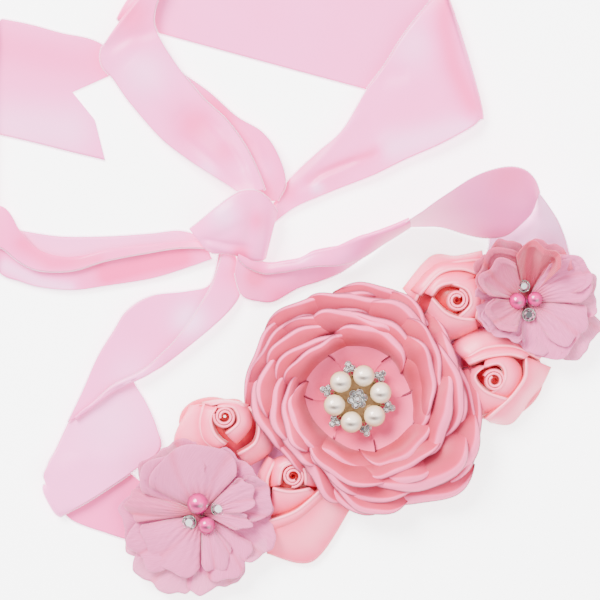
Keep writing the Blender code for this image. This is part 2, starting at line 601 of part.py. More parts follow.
def make_rosette(name, bud, height, turn, hand, reach):
    """A rolled ribbon: upright at the bud, then each round wider, lower and more laid back."""
    rows = []
    steps = int(ROSETTE_TURNS * ROSETTE_SECTIONS)
    for step in range(steps + 1):
        t = ROSETTE_TURNS * step / steps
        angle = math.radians(turn) + hand * 2 * math.pi * t
        out = Vector((math.cos(angle), math.sin(angle), 0))
        low = ROSETTE_FOOT[0] + ROSETTE_FOOT[1] * t
        wide = ROSETTE_LIP[0] + ROSETTE_LIP[1] * t + ROSETTE_LIP[2] * t * t
        share = around(reach, angle) / ROSETTE_REACH
        onset = ROSETTE_FREE[0] if share < 1 else ROSETTE_FREE[1]
        blend = min(1.0, max(0.0, (t - onset) / (ROSETTE_FULL - onset)))
        squeeze = 1 - blend + blend * share
        wide = max(low + LIP_MIN, wide * squeeze)
        top = height - ROSETTE_DROP[0] * t - ROSETTE_DROP[1] * height * t * t
        centre = Vector((*bud, 0))
        foot = centre + out * low + Vector((0, 0, SEAT + WALL / 2))
        lip = centre + out * wide + Vector((0, 0, max(top, SEAT + LIP_LOW)))
        rows.append([foot, foot.lerp(lip, LIP_BEND[0]) + Vector((0, 0, LIP_BEND[1])), lip])
    return add_object(name, wall_from_grid(rows), "rose satin")


def make_pearl(name, kind, place, radius):
    bm = bmesh.new()
    bmesh.ops.create_uvsphere(bm, u_segments=PEARL_SEGMENTS, v_segments=PEARL_RINGS, radius=radius)
    bmesh.ops.translate(bm, vec=place, verts=bm.verts[:])
    return add_object(name, bm, kind, 80)


def make_stone(name, place, radius, depth):
    """A cut stone in its cup: a drum with a flat table on top."""
    bm = bmesh.new()
    rings = []
    corners = [2 * math.pi * k / STONE_SIDES for k in range(STONE_SIDES)]
    for share, level in STONE_PROFILE:
        rings.append([
            bm.verts.new((place[0] + radius * share * math.cos(a),
                          place[1] + radius * share * math.sin(a), place[2] + level * depth))
            for a in corners
        ])
    for low, high in zip(rings, rings[1:]):
        for k in range(STONE_SIDES):
            after = (k + 1) % STONE_SIDES
            bm.faces.new((low[k], low[after], high[after], high[k]))
    bm.faces.new(rings[0])
    bm.faces.new(rings[-1])
    return add_object(name, bm, "crystal", 20)


def make_brooch():
    """Six pearls and six stones on a scalloped plate, round a cluster of stones."""
    seat = SEAT + len(BIG_LAYERS) * (WALL + GAP)
    bm = bmesh.new()
    rims = []
    for z in (seat, seat + PLATE_WALL):
        rim = []
        for k in range(PLATE_POINTS):
            a = 2 * math.pi * k / PLATE_POINTS
            r = PLATE_RADIUS + PLATE_SCALLOP * math.cos(6 * (a - math.radians(BROOCH_STONE_TURN)))
            rim.append(bm.verts.new((BIG_CENTRE[0] + r * math.cos(a), BIG_CENTRE[1] + r * math.sin(a), z)))
        rims.append(rim)
    for k in range(PLATE_POINTS):
        after = (k + 1) % PLATE_POINTS
        bm.faces.new((rims[0][k], rims[0][after], rims[1][after], rims[1][k]))
    for rim in rims:
        middle = bm.verts.new((*BIG_CENTRE, rim[0].co.z))
        for k in range(PLATE_POINTS):
            bm.faces.new((middle, rim[k], rim[(k + 1) % PLATE_POINTS]))
    add_object("brooch_plate", bm, "silver", 40)
    top = seat + PLATE_WALL + GAP
    for k in range(6):
        a = math.radians(BROOCH_PEARL_TURN + 60 * k)
        place = (BIG_CENTRE[0] + BROOCH_RING * math.cos(a), BIG_CENTRE[1] + BROOCH_RING * math.sin(a),
                 top + BROOCH_PEARL)
        make_pearl(f"brooch_pearl_{k + 1}", "ivory pearl", place, BROOCH_PEARL)
        a = math.radians(BROOCH_STONE_TURN + 60 * k)
        place = (BIG_CENTRE[0] + BROOCH_STONE_RING * math.cos(a),
                 BIG_CENTRE[1] + BROOCH_STONE_RING * math.sin(a), top)
        make_stone(f"brooch_stone_{k + 1}", place, BROOCH_STONE, BROOCH_STONE_DEPTH)
    make_stone("brooch_cluster", (*BIG_CENTRE, top), CLUSTER_RADIUS, CLUSTER_DEPTH)


def make_beads(centre, beads, layers):
    seat = SEAT + len(layers) * (WALL + GAP)
    for name, kind, (x, y), radius in beads:
        if kind == "crystal":
            make_stone(name, (centre[0] + x, centre[1] + y, seat), radius, BEAD_STONE_DEPTH)
        else:
            make_pearl(name, kind, (centre[0] + x, centre[1] + y, seat + radius), radius)


def settle_origin():
    """Puts the origin under the middle of the sash's outline, on the surface it lies on."""
    meshes = [thing.data for thing in bpy.data.objects if thing.type == "MESH"]
    corners = [vertex.co for mesh in meshes for vertex in mesh.vertices]
    middle = [(min(c[k] for c in corners) + max(c[k] for c in corners)) / 2 for k in (0, 1)]
    floor = min(c.z for c in corners)
    for mesh in meshes:
        mesh.transform(Matrix.Translation((-middle[0], -middle[1], -floor)))


clear_scene()
make_ribbon()
make_big_flower()
make_chiffon(LEFT_CHIFFON_CENTRE, LEFT_CHIFFON_REACH, LEFT_CHIFFON_LIFT, LEFT_CHIFFON_LAYERS)
make_chiffon(RIGHT_CHIFFON_CENTRE, RIGHT_CHIFFON_REACH, RIGHT_CHIFFON_LIFT, RIGHT_CHIFFON_LAYERS)
for rosette in ROSETTES:
    make_rosette(*rosette)
make_brooch()
make_beads(LEFT_CHIFFON_CENTRE, LEFT_BEADS, LEFT_CHIFFON_LAYERS)
make_beads(RIGHT_CHIFFON_CENTRE, RIGHT_BEADS, RIGHT_CHIFFON_LAYERS)
settle_origin()
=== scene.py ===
import math
import random

import bmesh
import bpy
import numpy as np
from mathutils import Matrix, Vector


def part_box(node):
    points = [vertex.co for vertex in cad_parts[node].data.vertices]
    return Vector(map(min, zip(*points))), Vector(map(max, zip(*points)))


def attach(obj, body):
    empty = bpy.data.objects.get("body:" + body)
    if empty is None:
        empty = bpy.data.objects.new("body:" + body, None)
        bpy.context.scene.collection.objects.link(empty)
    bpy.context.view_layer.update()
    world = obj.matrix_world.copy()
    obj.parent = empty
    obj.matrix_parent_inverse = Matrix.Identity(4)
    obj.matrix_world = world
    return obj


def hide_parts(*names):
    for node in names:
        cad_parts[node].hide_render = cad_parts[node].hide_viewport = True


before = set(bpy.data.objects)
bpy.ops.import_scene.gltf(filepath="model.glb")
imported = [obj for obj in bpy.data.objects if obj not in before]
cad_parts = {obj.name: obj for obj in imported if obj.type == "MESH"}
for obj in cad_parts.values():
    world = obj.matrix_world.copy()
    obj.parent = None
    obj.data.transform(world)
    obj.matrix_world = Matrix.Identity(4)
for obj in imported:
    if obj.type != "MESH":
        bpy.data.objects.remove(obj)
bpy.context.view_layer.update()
print("frame loaded:", len(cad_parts), "pieces")

# All places below are in millimetres from the middle of the photograph, +X right, +Y up, +Z to the eye.
# The brooch's middle ties that table frame to the frame's own origin.
millimetre = 0.001
bigFlowerMiddle = (20.2, -34.7)
lowCorner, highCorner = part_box("brooch_cluster")
broochMiddle = [(lowCorner[k] + highCorner[k]) / 2 / millimetre for k in (0, 1)]
tableShift = np.array([broochMiddle[0] - bigFlowerMiddle[0], broochMiddle[1] - bigFlowerMiddle[1], 0.0])

# Camera, light and floor

cameraLook = {"frameWidth": 212.4, "distance": 1600.0, "sensor": 36.0, "farthest": 20.0}
lightLook = {
    "world": 1.7,
    "keyLight": {"energy": 90.0, "size": 0.8, "place": (-0.75, 0.85, 1.15)},
    "fillLight": {"energy": 30.0, "size": 1.4, "place": (0.9, -0.5, 1.2)},
}
floorLook = {
    "halfSize": 4.0,
    "shader": {
        "Base Color": (0.98, 0.98, 0.98, 1),
        "Roughness": 0.9,
        "Specular IOR Level": 0.1,
        "Emission Color": (1, 1, 1, 1),
        "Emission Strength": 2.6,
    },
}


def addObject(name, data):
    made = bpy.data.objects.new(name, data)
    bpy.context.scene.collection.objects.link(made)
    return made


def fillNode(tree, node, values):
    # links a value that is a socket, and sets any other
    for key, value in values.items():
        if isinstance(value, bpy.types.NodeSocket):
            tree.links.new(value, node.inputs[key])
        else:
            node.inputs[key].default_value = value
    return node


def addNode(tree, kind, values=None, **settings):
    node = tree.nodes.new(kind)
    for key, value in settings.items():
        setattr(node, key, value)
    return fillNode(tree, node, values or {})


def startMaterial(name, values):
    made = bpy.data.materials.new(name)
    made.use_nodes = True
    tree = made.node_tree
    return made, tree, fillNode(tree, tree.nodes["Principled BSDF"], values)


def makeCamera(look):
    camera = bpy.data.cameras.new("camera")
    camera.sensor_width = look["sensor"]
    camera.lens = look["sensor"] * look["distance"] / look["frameWidth"]
    camera.clip_end = look["farthest"]
    holder = addObject("camera", camera)
    holder.location = (*(tableShift[:2] * millimetre), look["distance"] * millimetre)
    bpy.context.scene.camera = holder


def makeLight(name):
    look = lightLook[name]
    lamp = bpy.data.lights.new(name, "AREA")
    lamp.energy, lamp.size = look["energy"], look["size"]
    holder = addObject(name, lamp)
    holder.location = look["place"]
    holder.rotation_euler = (-holder.location).to_track_quat("-Z", "Y").to_euler()


def makeWorld():
    world = bpy.data.worlds.new("studio")
    world.use_nodes = True
    tree = world.node_tree
    fillNode(tree, tree.nodes["Background"], {"Color": (1, 1, 1, 1), "Strength": lightLook["world"]})
    bpy.context.scene.world = world


def makeFloor(look):
    mesh = bpy.data.meshes.new("floor")
    half = look["halfSize"]
    corners = [(x * half, y * half, 0) for x, y in ((-1, -1), (1, -1), (1, 1), (-1, 1))]
    mesh.from_pydata(corners, [], [(0, 1, 2, 3)])
    mesh.materials.append(startMaterial("paper", look["shader"])[0])
    addObject("floor", mesh)


makeCamera(cameraLook)
makeWorld()
makeLight("keyLight")
makeLight("fillLight")
makeFloor(floorLook)
print("camera, lights and floor made")


# Shader groups

def shade(red, green, blue):
    linear = []
    for value in (red / 255, green / 255, blue / 255):
        linear.append(value / 12.92 if value <= 0.04045 else ((value + 0.055) / 1.055) ** 2.4)
    return (*linear, 1.0)


def calc(tree, operation, *values, clamp=False):
    sockets = dict(enumerate(values))
    return addNode(tree, "ShaderNodeMath", sockets, operation=operation, use_clamp=clamp).outputs[0]


def scaled(tree, value, factor, offset=0.0, clamp=False):
    return calc(tree, "MULTIPLY_ADD", value, factor, offset, clamp=clamp)


def mixColour(tree, share, first, second):
    # first and second are sockets, or colours as red, green and blue to 255
    values = {0: share}
    for key, value in ((6, first), (7, second)):
        values[key] = value if isinstance(value, bpy.types.NodeSocket) else shade(*value)
    return addNode(tree, "ShaderNodeMix", values, data_type="RGBA").outputs[2]


def noise(tree, place, scale, detail=2.0):
    values = {"Vector": place, "Scale": scale, "Detail": detail}
    return addNode(tree, "ShaderNodeTexNoise", values).outputs[0]


def attribute(tree, name):
    return addNode(tree, "ShaderNodeAttribute", attribute_name=name).outputs["Fac"]


def newGroup(name, values, results):
    # reads the cloth's own coordinates and a few values, and gives out values
    group = bpy.data.node_groups.new(name, "ShaderNodeTree")
    group.interface.new_socket("Cloth", in_out="INPUT", socket_type="NodeSocketVector")
    for label, value in values.items():
        socket = group.interface.new_socket(label, in_out="INPUT", socket_type="NodeSocketFloat")
        socket.default_value = value
    for label in results:
        group.interface.new_socket(label, in_out="OUTPUT", socket_type="NodeSocketFloat")
    return group, group.nodes.new("NodeGroupInput").outputs, group.nodes.new("NodeGroupOutput")


lineLook = {
    # fine satin floats: threads along the ribbon, broken up so that no two look alike
    "satinThreads": {
        "values": {"Pitch": 0.3, "Wander": 0.0, "Wave": 0.5, "Rough": 0.4},
        "stretch": (0.35, 3.5, 1.0),
        "detail": 3.0,
    },
    # crepe lines of crinkled chiffon: long thin wrinkles, nearly parallel, with a wandering pitch
    "crepeLines": {
        "values": {"Pitch": 0.9, "Wander": 1.6, "Wave": 0.35, "Rough": 1.0},
        "stretch": (0.25, 2.2, 1.0),
        "detail": 4.0,
    },
}


def makeLineGroup(name):
    look = lineLook[name]
    group, given, result = newGroup(name, look["values"], ("Height", "Tone"))
    across = addNode(group, "ShaderNodeSeparateXYZ", {0: given["Cloth"]}).outputs["Y"]
    pushed = scaled(group, noise(group, given["Cloth"], 0.12), given["Wander"], across)
    turns = calc(group, "DIVIDE", pushed, given["Pitch"])
    wave = calc(group, "SINE", scaled(group, turns, 2 * math.pi))
    stretched = addNode(group, "ShaderNodeMapping", {0: given["Cloth"], "Scale": look["stretch"]})
    fine = noise(group, stretched.outputs[0], 1.0, look["detail"])
    height = scaled(group, wave, given["Wave"], scaled(group, fine, given["Rough"]))
    fillNode(group, result, {"Height": height, "Tone": fine})
    return group


def makeBandGroup():
    # a band along an edge: 1 at the edge, 0 past its width, with a ragged inner limit
    group, given, result = newGroup("edgeBand", {"Distance": 0.0, "Width": 0.5, "Ragged": 0.4}, ("Mask",))
    uneven = calc(group, "SUBTRACT", noise(group, given["Cloth"], 0.7), 0.5)
    limit = scaled(group, uneven, given["Ragged"], given["Width"])
    share = calc(group, "DIVIDE", given["Distance"], limit)
    fillNode(group, result, {"Mask": calc(group, "SUBTRACT", 1.0, share, clamp=True)})
    return group


threadGroup = makeLineGroup("satinThreads")
crinkleGroup = makeLineGroup("crepeLines")
bandGroup = makeBandGroup()


# Materials, each with the look that it is made from

def cloudTone(tree, size):
    # slow change of tone over the cloth, as dye takes unevenly; size in metres
    return noise(tree, tree.nodes.new("ShaderNodeTexCoord").outputs["Object"], 1 / size)


def startCloth(name, look, group):
    # what all cloths share: their coordinates, the relief of the weave, roughness and sheen
    made, tree, shader = startMaterial(name, look["shader"])
    cloth = addNode(tree, "ShaderNodeUVMap", uv_map="cloth").outputs[0]
    values = {"Cloth": cloth, "Pitch": look["pitch"]}
    lines = addNode(tree, "ShaderNodeGroup", values, node_tree=group).outputs
    relief = {"Height": lines["Height"], "Strength": look["bump"], "Distance": look["relief"]}
    uneven = look["uneven"]
    fillNode(tree, shader, {
        "Normal": addNode(tree, "ShaderNodeBump", relief).outputs[0],
        "Roughness": scaled(tree, lines["Tone"], uneven, look["roughness"] - uneven / 2),
    })
    return made, tree, shader, lines["Tone"]


def edgeBand(tree, look):
    cloth = addNode(tree, "ShaderNodeUVMap", uv_map="cloth").outputs[0]
    values = {"Cloth": cloth, "Distance": attribute(tree, "edge")}
    values.update({"Width": look["band"], "Ragged": look["ragged"]})
    return addNode(tree, "ShaderNodeGroup", values, node_tree=bandGroup).outputs[0]


ribbonLook = {
    "light": (253, 126, 198),
    "dark": (250, 110, 184),
    # shaded and shining: the colours of painted shade and painted highlight
    "shaded": (240, 58, 138),
    "shining": (255, 186, 238),
    "selvedge": (248, 120, 178),
    "selvedgeShare": 0.6,
    "band": 0.7,
    "ragged": 0.1,
    "cloudSize": 0.03,
    "pitch": 0.32,
    "bump": 0.1,
    "relief": 0.0001,
    "roughness": 0.36,
    "uneven": 0.12,
    "shader": {"Sheen Weight": 0.25, "Sheen Roughness": 0.4, "Sheen Tint": (1.0, 0.85, 0.92, 1)},
}


def makeRibbonMaterial(look):
    made, tree, shader, _ = startCloth("ribbonSatin", look, threadGroup)
    plain = mixColour(tree, cloudTone(tree, look["cloudSize"]), look["light"], look["dark"])
    # painted light: painted shade where the shading value is above 0, painted highlight where it is below 0
    tint = attribute(tree, "tint")
    shaded = mixColour(tree, scaled(tree, tint, 1.0, clamp=True), plain, look["shaded"])
    shining = mixColour(tree, scaled(tree, tint, -1.0, clamp=True), shaded, look["shining"])
    rim = scaled(tree, edgeBand(tree, look), look["selvedgeShare"])
    fillNode(tree, shader, {"Base Color": mixColour(tree, rim, shining, look["selvedge"])})
    return made


petalLook = {
    "face": (196, 12, 62),
    "light": (246, 108, 158),
    "deep": (150, 0, 14),
    "singed": (84, 4, 26),
    "band": 1.05,
    "ragged": 0.3,
    "cloudSize": 0.012,
    "cloudShare": 0.3,
    "pitch": 0.4,
    "bump": 0.08,
    "relief": 0.0001,
    "roughness": 0.55,
    "uneven": 0.0,
    "shader": {
        "Sheen Weight": 0.14, "Sheen Roughness": 0.5, "Sheen Tint": (1.0, 0.7, 0.8, 1),
        "Specular IOR Level": 0.25,
    },
}


def makePetalMaterial(look):
    # painted light on the curled lip, painted shade deeper down the inside of the petal, browned along the
    # singed edge
    made, tree, shader, _ = startCloth("petalSatin", look, threadGroup)
    lip = attribute(tree, "lip")
    inner = mixColour(tree, scaled(tree, lip, 2.0, clamp=True), look["deep"], look["face"])
    lit = mixColour(tree, scaled(tree, lip, 2.0, -1.0, clamp=True), inner, look["light"])
    cloud = scaled(tree, cloudTone(tree, look["cloudSize"]), look["cloudShare"])
    cloudy = mixColour(tree, cloud, lit, look["light"])
    colour = mixColour(tree, edgeBand(tree, look), cloudy, look["singed"])
    fillNode(tree, shader, {"Base Color": colour})
    return made


roseLook = {
    "light": (254, 132, 160),
    "face": (240, 60, 112),
    "deep": (208, 4, 36),
    "cloudSize": 0.006,
    "cloudShare": 0.4,
    "pitch": 0.3,
    "bump": 0.1,
    "relief": 0.0001,
    "roughness": 0.34,
    "uneven": 0.1,
    "shader": {"Sheen Weight": 0.2, "Sheen Roughness": 0.4},
}


def makeRoseMaterial(look):
    made, tree, shader, _ = startCloth("roseSatin", look, threadGroup)
    # depth: painted highlight over the rims (below 0), painted shade down the folds, gaps and pocket (above
    # 0)
    depth = attribute(tree, "depth")
    cloud = scaled(tree, cloudTone(tree, look["cloudSize"]), look["cloudShare"])
    face = mixColour(tree, cloud, look["face"], look["light"])
    lit = mixColour(tree, scaled(tree, depth, -1.0, clamp=True), face, look["light"])
    deep = scaled(tree, depth, 1.0, clamp=True)
    fillNode(tree, shader, {"Base Color": mixColour(tree, deep, lit, look["deep"])})
    return made


chiffonLook = {
    "light": (230, 112, 172),
    "face": (206, 80, 140),
    "deep": (198, 22, 74),
    "cover": 0.78,
    "coverChange": 0.2,
    "pitch": 0.7,
    "bump": 0.4,
    "relief": 0.0002,
    "roughness": 0.8,
    "uneven": 0.0,
    "shader": {"Sheen Weight": 0.5, "Sheen Roughness": 0.6},
}


def makeChiffonMaterial(look):
    made, tree, shader, tone = startCloth("sheerChiffon", look, crinkleGroup)
    face = mixColour(tree, tone, look["face"], look["light"])
    change = look["coverChange"]
    # depth: painted shade in the gathered middle, under overlapped sides and in pleat troughs, on top of a
    # deeper tone on some whole petals
    fillNode(tree, shader, {
        "Base Color": mixColour(tree, attribute(tree, "depth"), face, look["deep"]),
        "Alpha": scaled(tree, tone, change, look["cover"] - change / 2, clamp=True),
    })
    return made


# lustre: painted reflection and shade over the pearl's own colour, by how far the surface turns away from
# the eye, 0 to 1, and its colour there
pearlLooks = {
    "ivoryPearl": {
        "lustre": (
            (0.0, (236, 214, 198)), (0.3, (204, 180, 160)), (0.6, (206, 176, 134)), (1.0, (96, 72, 34)),
        ),
        "band": (58, 40, 36),
    },
    "pinkPearl": {
        "lustre": ((0.0, (214, 16, 128)), (0.3, (188, 0, 104)), (0.65, (140, 0, 76)), (1.0, (70, 0, 36))),
        "band": (64, 0, 36),
    },
}
pearlShader = {"Roughness": 0.2, "Coat Weight": 0.8, "Coat Roughness": 0.04}


def makePearlMaterial(name):
    look = pearlLooks[name]
    made, tree, shader = startMaterial(name, pearlShader)
    # painted reflection and shade: the colour follows how far the surface turns from the eye
    facing = addNode(tree, "ShaderNodeLayerWeight", {"Blend": 0.5}).outputs["Facing"]
    lustre = addNode(tree, "ShaderNodeValToRGB", {"Fac": facing})
    elements = lustre.color_ramp.elements
    while len(elements) < len(look["lustre"]):
        elements.new(0.5)
    for element, (place, colour) in zip(elements, look["lustre"]):
        element.position = place
        element.color = shade(*colour)
    # painted reflection: a dark band low on each pearl
    colour = mixColour(tree, attribute(tree, "dusk"), lustre.outputs["Color"], look["band"])
    fillNode(tree, shader, {"Base Color": colour})
    return made


metalLook = {
    "silverSetting": ((230, 228, 228), (140, 124, 106)),
    "giltSetting": ((176, 134, 92), (104, 72, 48)),
    "cloudSize": 0.002,
    "roughness": 0.12,
    "uneven": 0.15,
}


def makeMetalMaterial(name):
    made, tree, shader = startMaterial(name, {"Metallic": 1.0})
    cloud = cloudTone(tree, metalLook["cloudSize"])
    fillNode(tree, shader, {
        "Base Color": mixColour(tree, cloud, *metalLook[name]),
        "Roughness": scaled(tree, cloud, metalLook["uneven"], metalLook["roughness"]),
    })
    return made


crystalLook = {
    "bright": (255, 255, 255),
    "dark": (46, 40, 48),
    "shader": {"Metallic": 0.75, "Roughness": 0.04, "Coat Weight": 1.0, "Coat Roughness": 0.02},
}


def makeCrystalMaterial(look):
    made, tree, shader = startMaterial("cutCrystal", look["shader"])
    # painted reflection: facets bright or dark at random, standing in for the lights and dark surroundings a
    # cut stone mirrors
    colour = mixColour(tree, attribute(tree, "facet"), look["bright"], look["dark"])
    fillNode(tree, shader, {"Base Color": colour})
    return made


picotLook = {
    "pitch": 1.15,
    "radius": 0.42,
    "thread": 0.13,
    "shader": {"Base Color": shade(255, 214, 242), "Roughness": 0.6},
}

ribbonSatin = makeRibbonMaterial(ribbonLook)
picotThread = startMaterial("picotThread", picotLook["shader"])[0]
petalSatin = makePetalMaterial(petalLook)
roseSatin = makeRoseMaterial(roseLook)
sheerChiffon = makeChiffonMaterial(chiffonLook)
ivoryPearl = makePearlMaterial("ivoryPearl")
pinkPearl = makePearlMaterial("pinkPearl")
silverSetting = makeMetalMaterial("silverSetting")
giltSetting = makeMetalMaterial("giltSetting")
cutCrystal = makeCrystalMaterial(crystalLook)
print("materials made")


# Sheets of cloth as grids of points

def curveAt(points, t):
    # soft curve from the second of four points to the third
    before, here, there, after = points
    return 0.5 * (
        2 * here
        + (there - before) * t
        + (2 * before - 5 * here + 4 * there - after) * t ** 2
        + (3 * here - before - 3 * there + after) * t ** 3
    )


def smoothRows(rows, cell):
    # soft curve through rows of points, with a new row about every cell millimetres
    rows = np.asarray(rows, float)
    last = len(rows) - 1
    fine = []
    for i in range(last):
        steps = max(1, math.ceil(np.linalg.norm(rows[i + 1] - rows[i], axis=1).max() / cell))
        points = [rows[min(max(i + k, 0), last)] for k in (-1, 0, 1, 2)]
        fine += [curveAt(points, step / steps) for step in range(steps)]
    return np.array([*fine, rows[-1]])


def fillAcross(rows, count, bow=0.0):
    # straight lines across each row's points, bowed up in the middle
    spans = rows.shape[1] - 1
    place = np.linspace(0, spans, count + 1)
    first = np.minimum(place.astype(int), spans - 1)
    share = (place - first)[None, :, None]
    grid = rows[:, first] * (1 - share) + rows[:, first + 1] * share
    across = np.linspace(0, 1, count + 1)
    grid[..., 2] += bow * 4 * across * (1 - across)
    return grid


def gridNormals(grid):
    normals = np.cross(np.gradient(grid, axis=0), np.gradient(grid, axis=1))
    return normals / (np.linalg.norm(normals, axis=2, keepdims=True) + 1e-12)


def upNormals(grid):
    normals = gridNormals(grid)
    return np.where(normals[..., 2:3] < 0, -normals, normals)


def gridLengths(grid):
    # distance along and across the cloth, in millimetres
    along = np.zeros(grid.shape[:2])
    across = np.zeros(grid.shape[:2])
    along[1:] = np.cumsum(np.linalg.norm(np.diff(grid, axis=0), axis=2), axis=0)
    across[:, 1:] = np.cumsum(np.linalg.norm(np.diff(grid, axis=1), axis=2), axis=1)
    return along, across


def ramp(values, start, end=1.0):
    # 0 before start, 1 past end
    return np.clip((values - start) / (end - start), 0, 1)


def pathDistance(plan, path):
    # distance from each point to a path, and how far along the path the nearest place is
    path = np.asarray(path, float)
    lengths = np.linalg.norm(np.diff(path, axis=0), axis=1)
    total, done = lengths.sum(), 0.0
    best = np.full(plan.shape[:-1], 1e9)
    place = np.zeros(plan.shape[:-1])
    for start, end, length in zip(path[:-1], path[1:], lengths):
        share = np.clip(((plan - start) @ (end - start)) / length ** 2, 0, 1)
        gap = np.linalg.norm(plan - (start + share[..., None] * (end - start)), axis=-1)
        nearer = gap < best
        best = np.where(nearer, gap, best)
        place = np.where(nearer, (done + share * length) / total, place)
        done += length
    return best, place


def addCreases(grid, creases, lastColumn):
    # each crease: path in plan, height (below 0 for a trough), width, all in millimetres
    normals = upNormals(grid)
    inside = np.linspace(0, 1, grid.shape[1])[None, :] <= lastColumn
    for path, height, width in creases:
        gap, place = pathDistance(grid[..., :2], path)
        taper = np.clip(4 * place * (1 - place), 0, 1) ** 0.5
        lift = height * np.exp(-(gap / width) ** 2) * (0.25 + 0.75 * taper) * inside
        grid = grid + normals * lift[..., None]
    return grid


def addWaves(grid, amount, seed):
    # slow unevenness of soft ribbon, none at the ends
    draw = random.Random(seed)
    along, across = gridLengths(grid)
    fade = np.clip(np.minimum(along, along[-1].max() - along) / ribbonCut["fade"], 0, 1)
    lift = np.zeros(along.shape)
    for _ in range(4):
        longWave = draw.uniform(16, 38)
        slant = draw.uniform(-0.9, 0.9)
        phase = draw.uniform(0, 2 * math.pi)
        lift += np.sin(2 * math.pi * (along + slant * across) / longWave + phase) / 4
    return grid + upNormals(grid) * (amount * fade * lift)[..., None]


def shellArrays(grid, wall):
    # points and faces of a closed thin wall on both sides of a grid
    rows, cols = grid.shape[:2]
    offset = gridNormals(grid) * wall / 2
    points = np.concatenate([(grid + offset).reshape(-1, 3), (grid - offset).reshape(-1, 3)])
    top = np.arange(rows * cols).reshape(rows, cols)
    below = top + rows * cols
    corners = [top[:-1, :-1], top[1:, :-1], top[1:, 1:], top[:-1, 1:]]
    faces = [np.stack(corners, -1).reshape(-1, 4), np.stack(corners[::-1], -1).reshape(-1, 4) + rows * cols]
    for line, under, turned in (
        (top[:, 0], below[:, 0], True),
        (top[:, -1], below[:, -1], False),
        (top[0], below[0], False),
        (top[-1], below[-1], True),
    ):
        rim = np.stack([line[:-1], line[1:], under[1:], under[:-1]], -1)
        faces.append(rim[:, ::-1] if turned else rim)
    return points, np.concatenate(faces)


def newMesh(name, points, faces):
    # points in millimetres of the table frame
    mesh = bpy.data.meshes.new(name)
    mesh.from_pydata(((np.asarray(points) + tableShift) * millimetre).tolist(), [], faces)
    return mesh


def addField(mesh, label, domain, values):
    field = mesh.attributes.new(label, "FLOAT", domain)
    field.data.foreach_set("value", np.asarray(values, np.float32))


def pieceName(node, ending=""):
    words = node.split("_")
    return words[0] + "".join(word.capitalize() for word in words[1:]) + ending


def settle(piece, node):
    # a piece without a node is an extra on the body
    if node:
        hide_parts(node)
    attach(piece, "root")


def clothObject(name, node, sheets, wall, material):
    # sheets: grids with named values at their points, joined in one piece
    points, faces, places, fields, done = [], [], [], {}, 0
    for grid, values in sheets:
        wallPoints, wallFaces = shellArrays(grid, wall)
        points.append(wallPoints)
        faces.append(wallFaces + done)
        places += [np.stack(gridLengths(grid), -1).reshape(-1, 2)] * 2
        for label, value in values.items():
            fields.setdefault(label, []).extend([np.broadcast_to(value, grid.shape[:2]).ravel()] * 2)
        done += len(wallPoints)
    mesh = newMesh(name, np.concatenate(points), np.concatenate(faces).tolist())
    layer = mesh.uv_layers.new(name="cloth")
    corners = np.zeros(len(mesh.loops), np.int32)
    mesh.loops.foreach_get("vertex_index", corners)
    layer.data.foreach_set("uv", np.concatenate(places).astype(np.float32)[corners].ravel())
    for label, values in fields.items():
        addField(mesh, label, "POINT", np.concatenate(values))
    mesh.materials.append(material)
    mesh.shade_smooth()
    piece = addObject(name, mesh)
    settle(piece, node)
    return piece


def gatheredCloth(name, node, sheets, wall, material):
    # made as a plain cloth piece
    piece = clothObject(name, node, sheets, wall, material)


# Ribbon stretches

floorLevel = 0.5
# creases run over the whole width, or over this share of a folded stretch: its upper layer
ribbonCut = {"wall": 0.35, "cell": 1.0, "foldRadius": 0.8, "waves": 0.35, "fade": 8.0, "upperLayer": 0.45}


def unit(direction):
    return direction / np.linalg.norm(direction)


def rollRows(line, inward, radius, count):
    # half turn where the ribbon rolls over, from its outermost line in plan; tighter at both ends
    start, end = (np.array((*corner, 0.0)) for corner in line)
    along = unit(end - start)
    side = np.array((*inward, 0.0))
    side = unit(side - along * (side @ along))
    share = np.linspace(0, 1, count + 1)[:, None]
    ends = np.abs(2 * share - 1) ** 6
    size = radius * (1 - 0.4 * ends)
    rim = start * (1 - share) + end * share + side * (0.7 * ends - 0.5 * (1 - (2 * share - 1) ** 2))
    up = np.array((0, 0, 1.0))
    rows = []
    for turn in range(-90, 91, 30):
        a = math.radians(turn)
        rows.append(rim + side * size * (1 - math.cos(a)) + up * (floorLevel + size * (1 + math.sin(a))))
    return np.array(rows)


def foldedRows(rows, count, bow):
    # a stretch folded lengthwise: top edge, fold line, edge of the layer below
    radius = ribbonCut["foldRadius"]
    last = len(rows) - 1
    folded = []
    for i, (top, fold, under) in enumerate(rows):
        along = unit(rows[min(i + 1, last)][1] - rows[max(i - 1, 0)][1])
        out = fold - (top + under) / 2
        out = unit(out - along * (out @ along))
        up = unit(np.cross(out, along))
        up = up if up @ (top - under) > 0 else -up
        centre = fold - out * radius
        share = np.arange(count)[:, None] / count
        upper = top * (1 - share) + (centre + up * radius) * share + up * bow * 4 * share * (1 - share)
        turns = np.radians(np.arange(90, -91, -22.5))[:, None]
        bend = centre + (out * np.cos(turns) + up * np.sin(turns)) * radius
        share = np.arange(1, count + 1)[:, None] / count
        folded.append(np.concatenate([upper, bend, (centre - up * radius) * (1 - share) + under * share]))
    return np.array(folded)
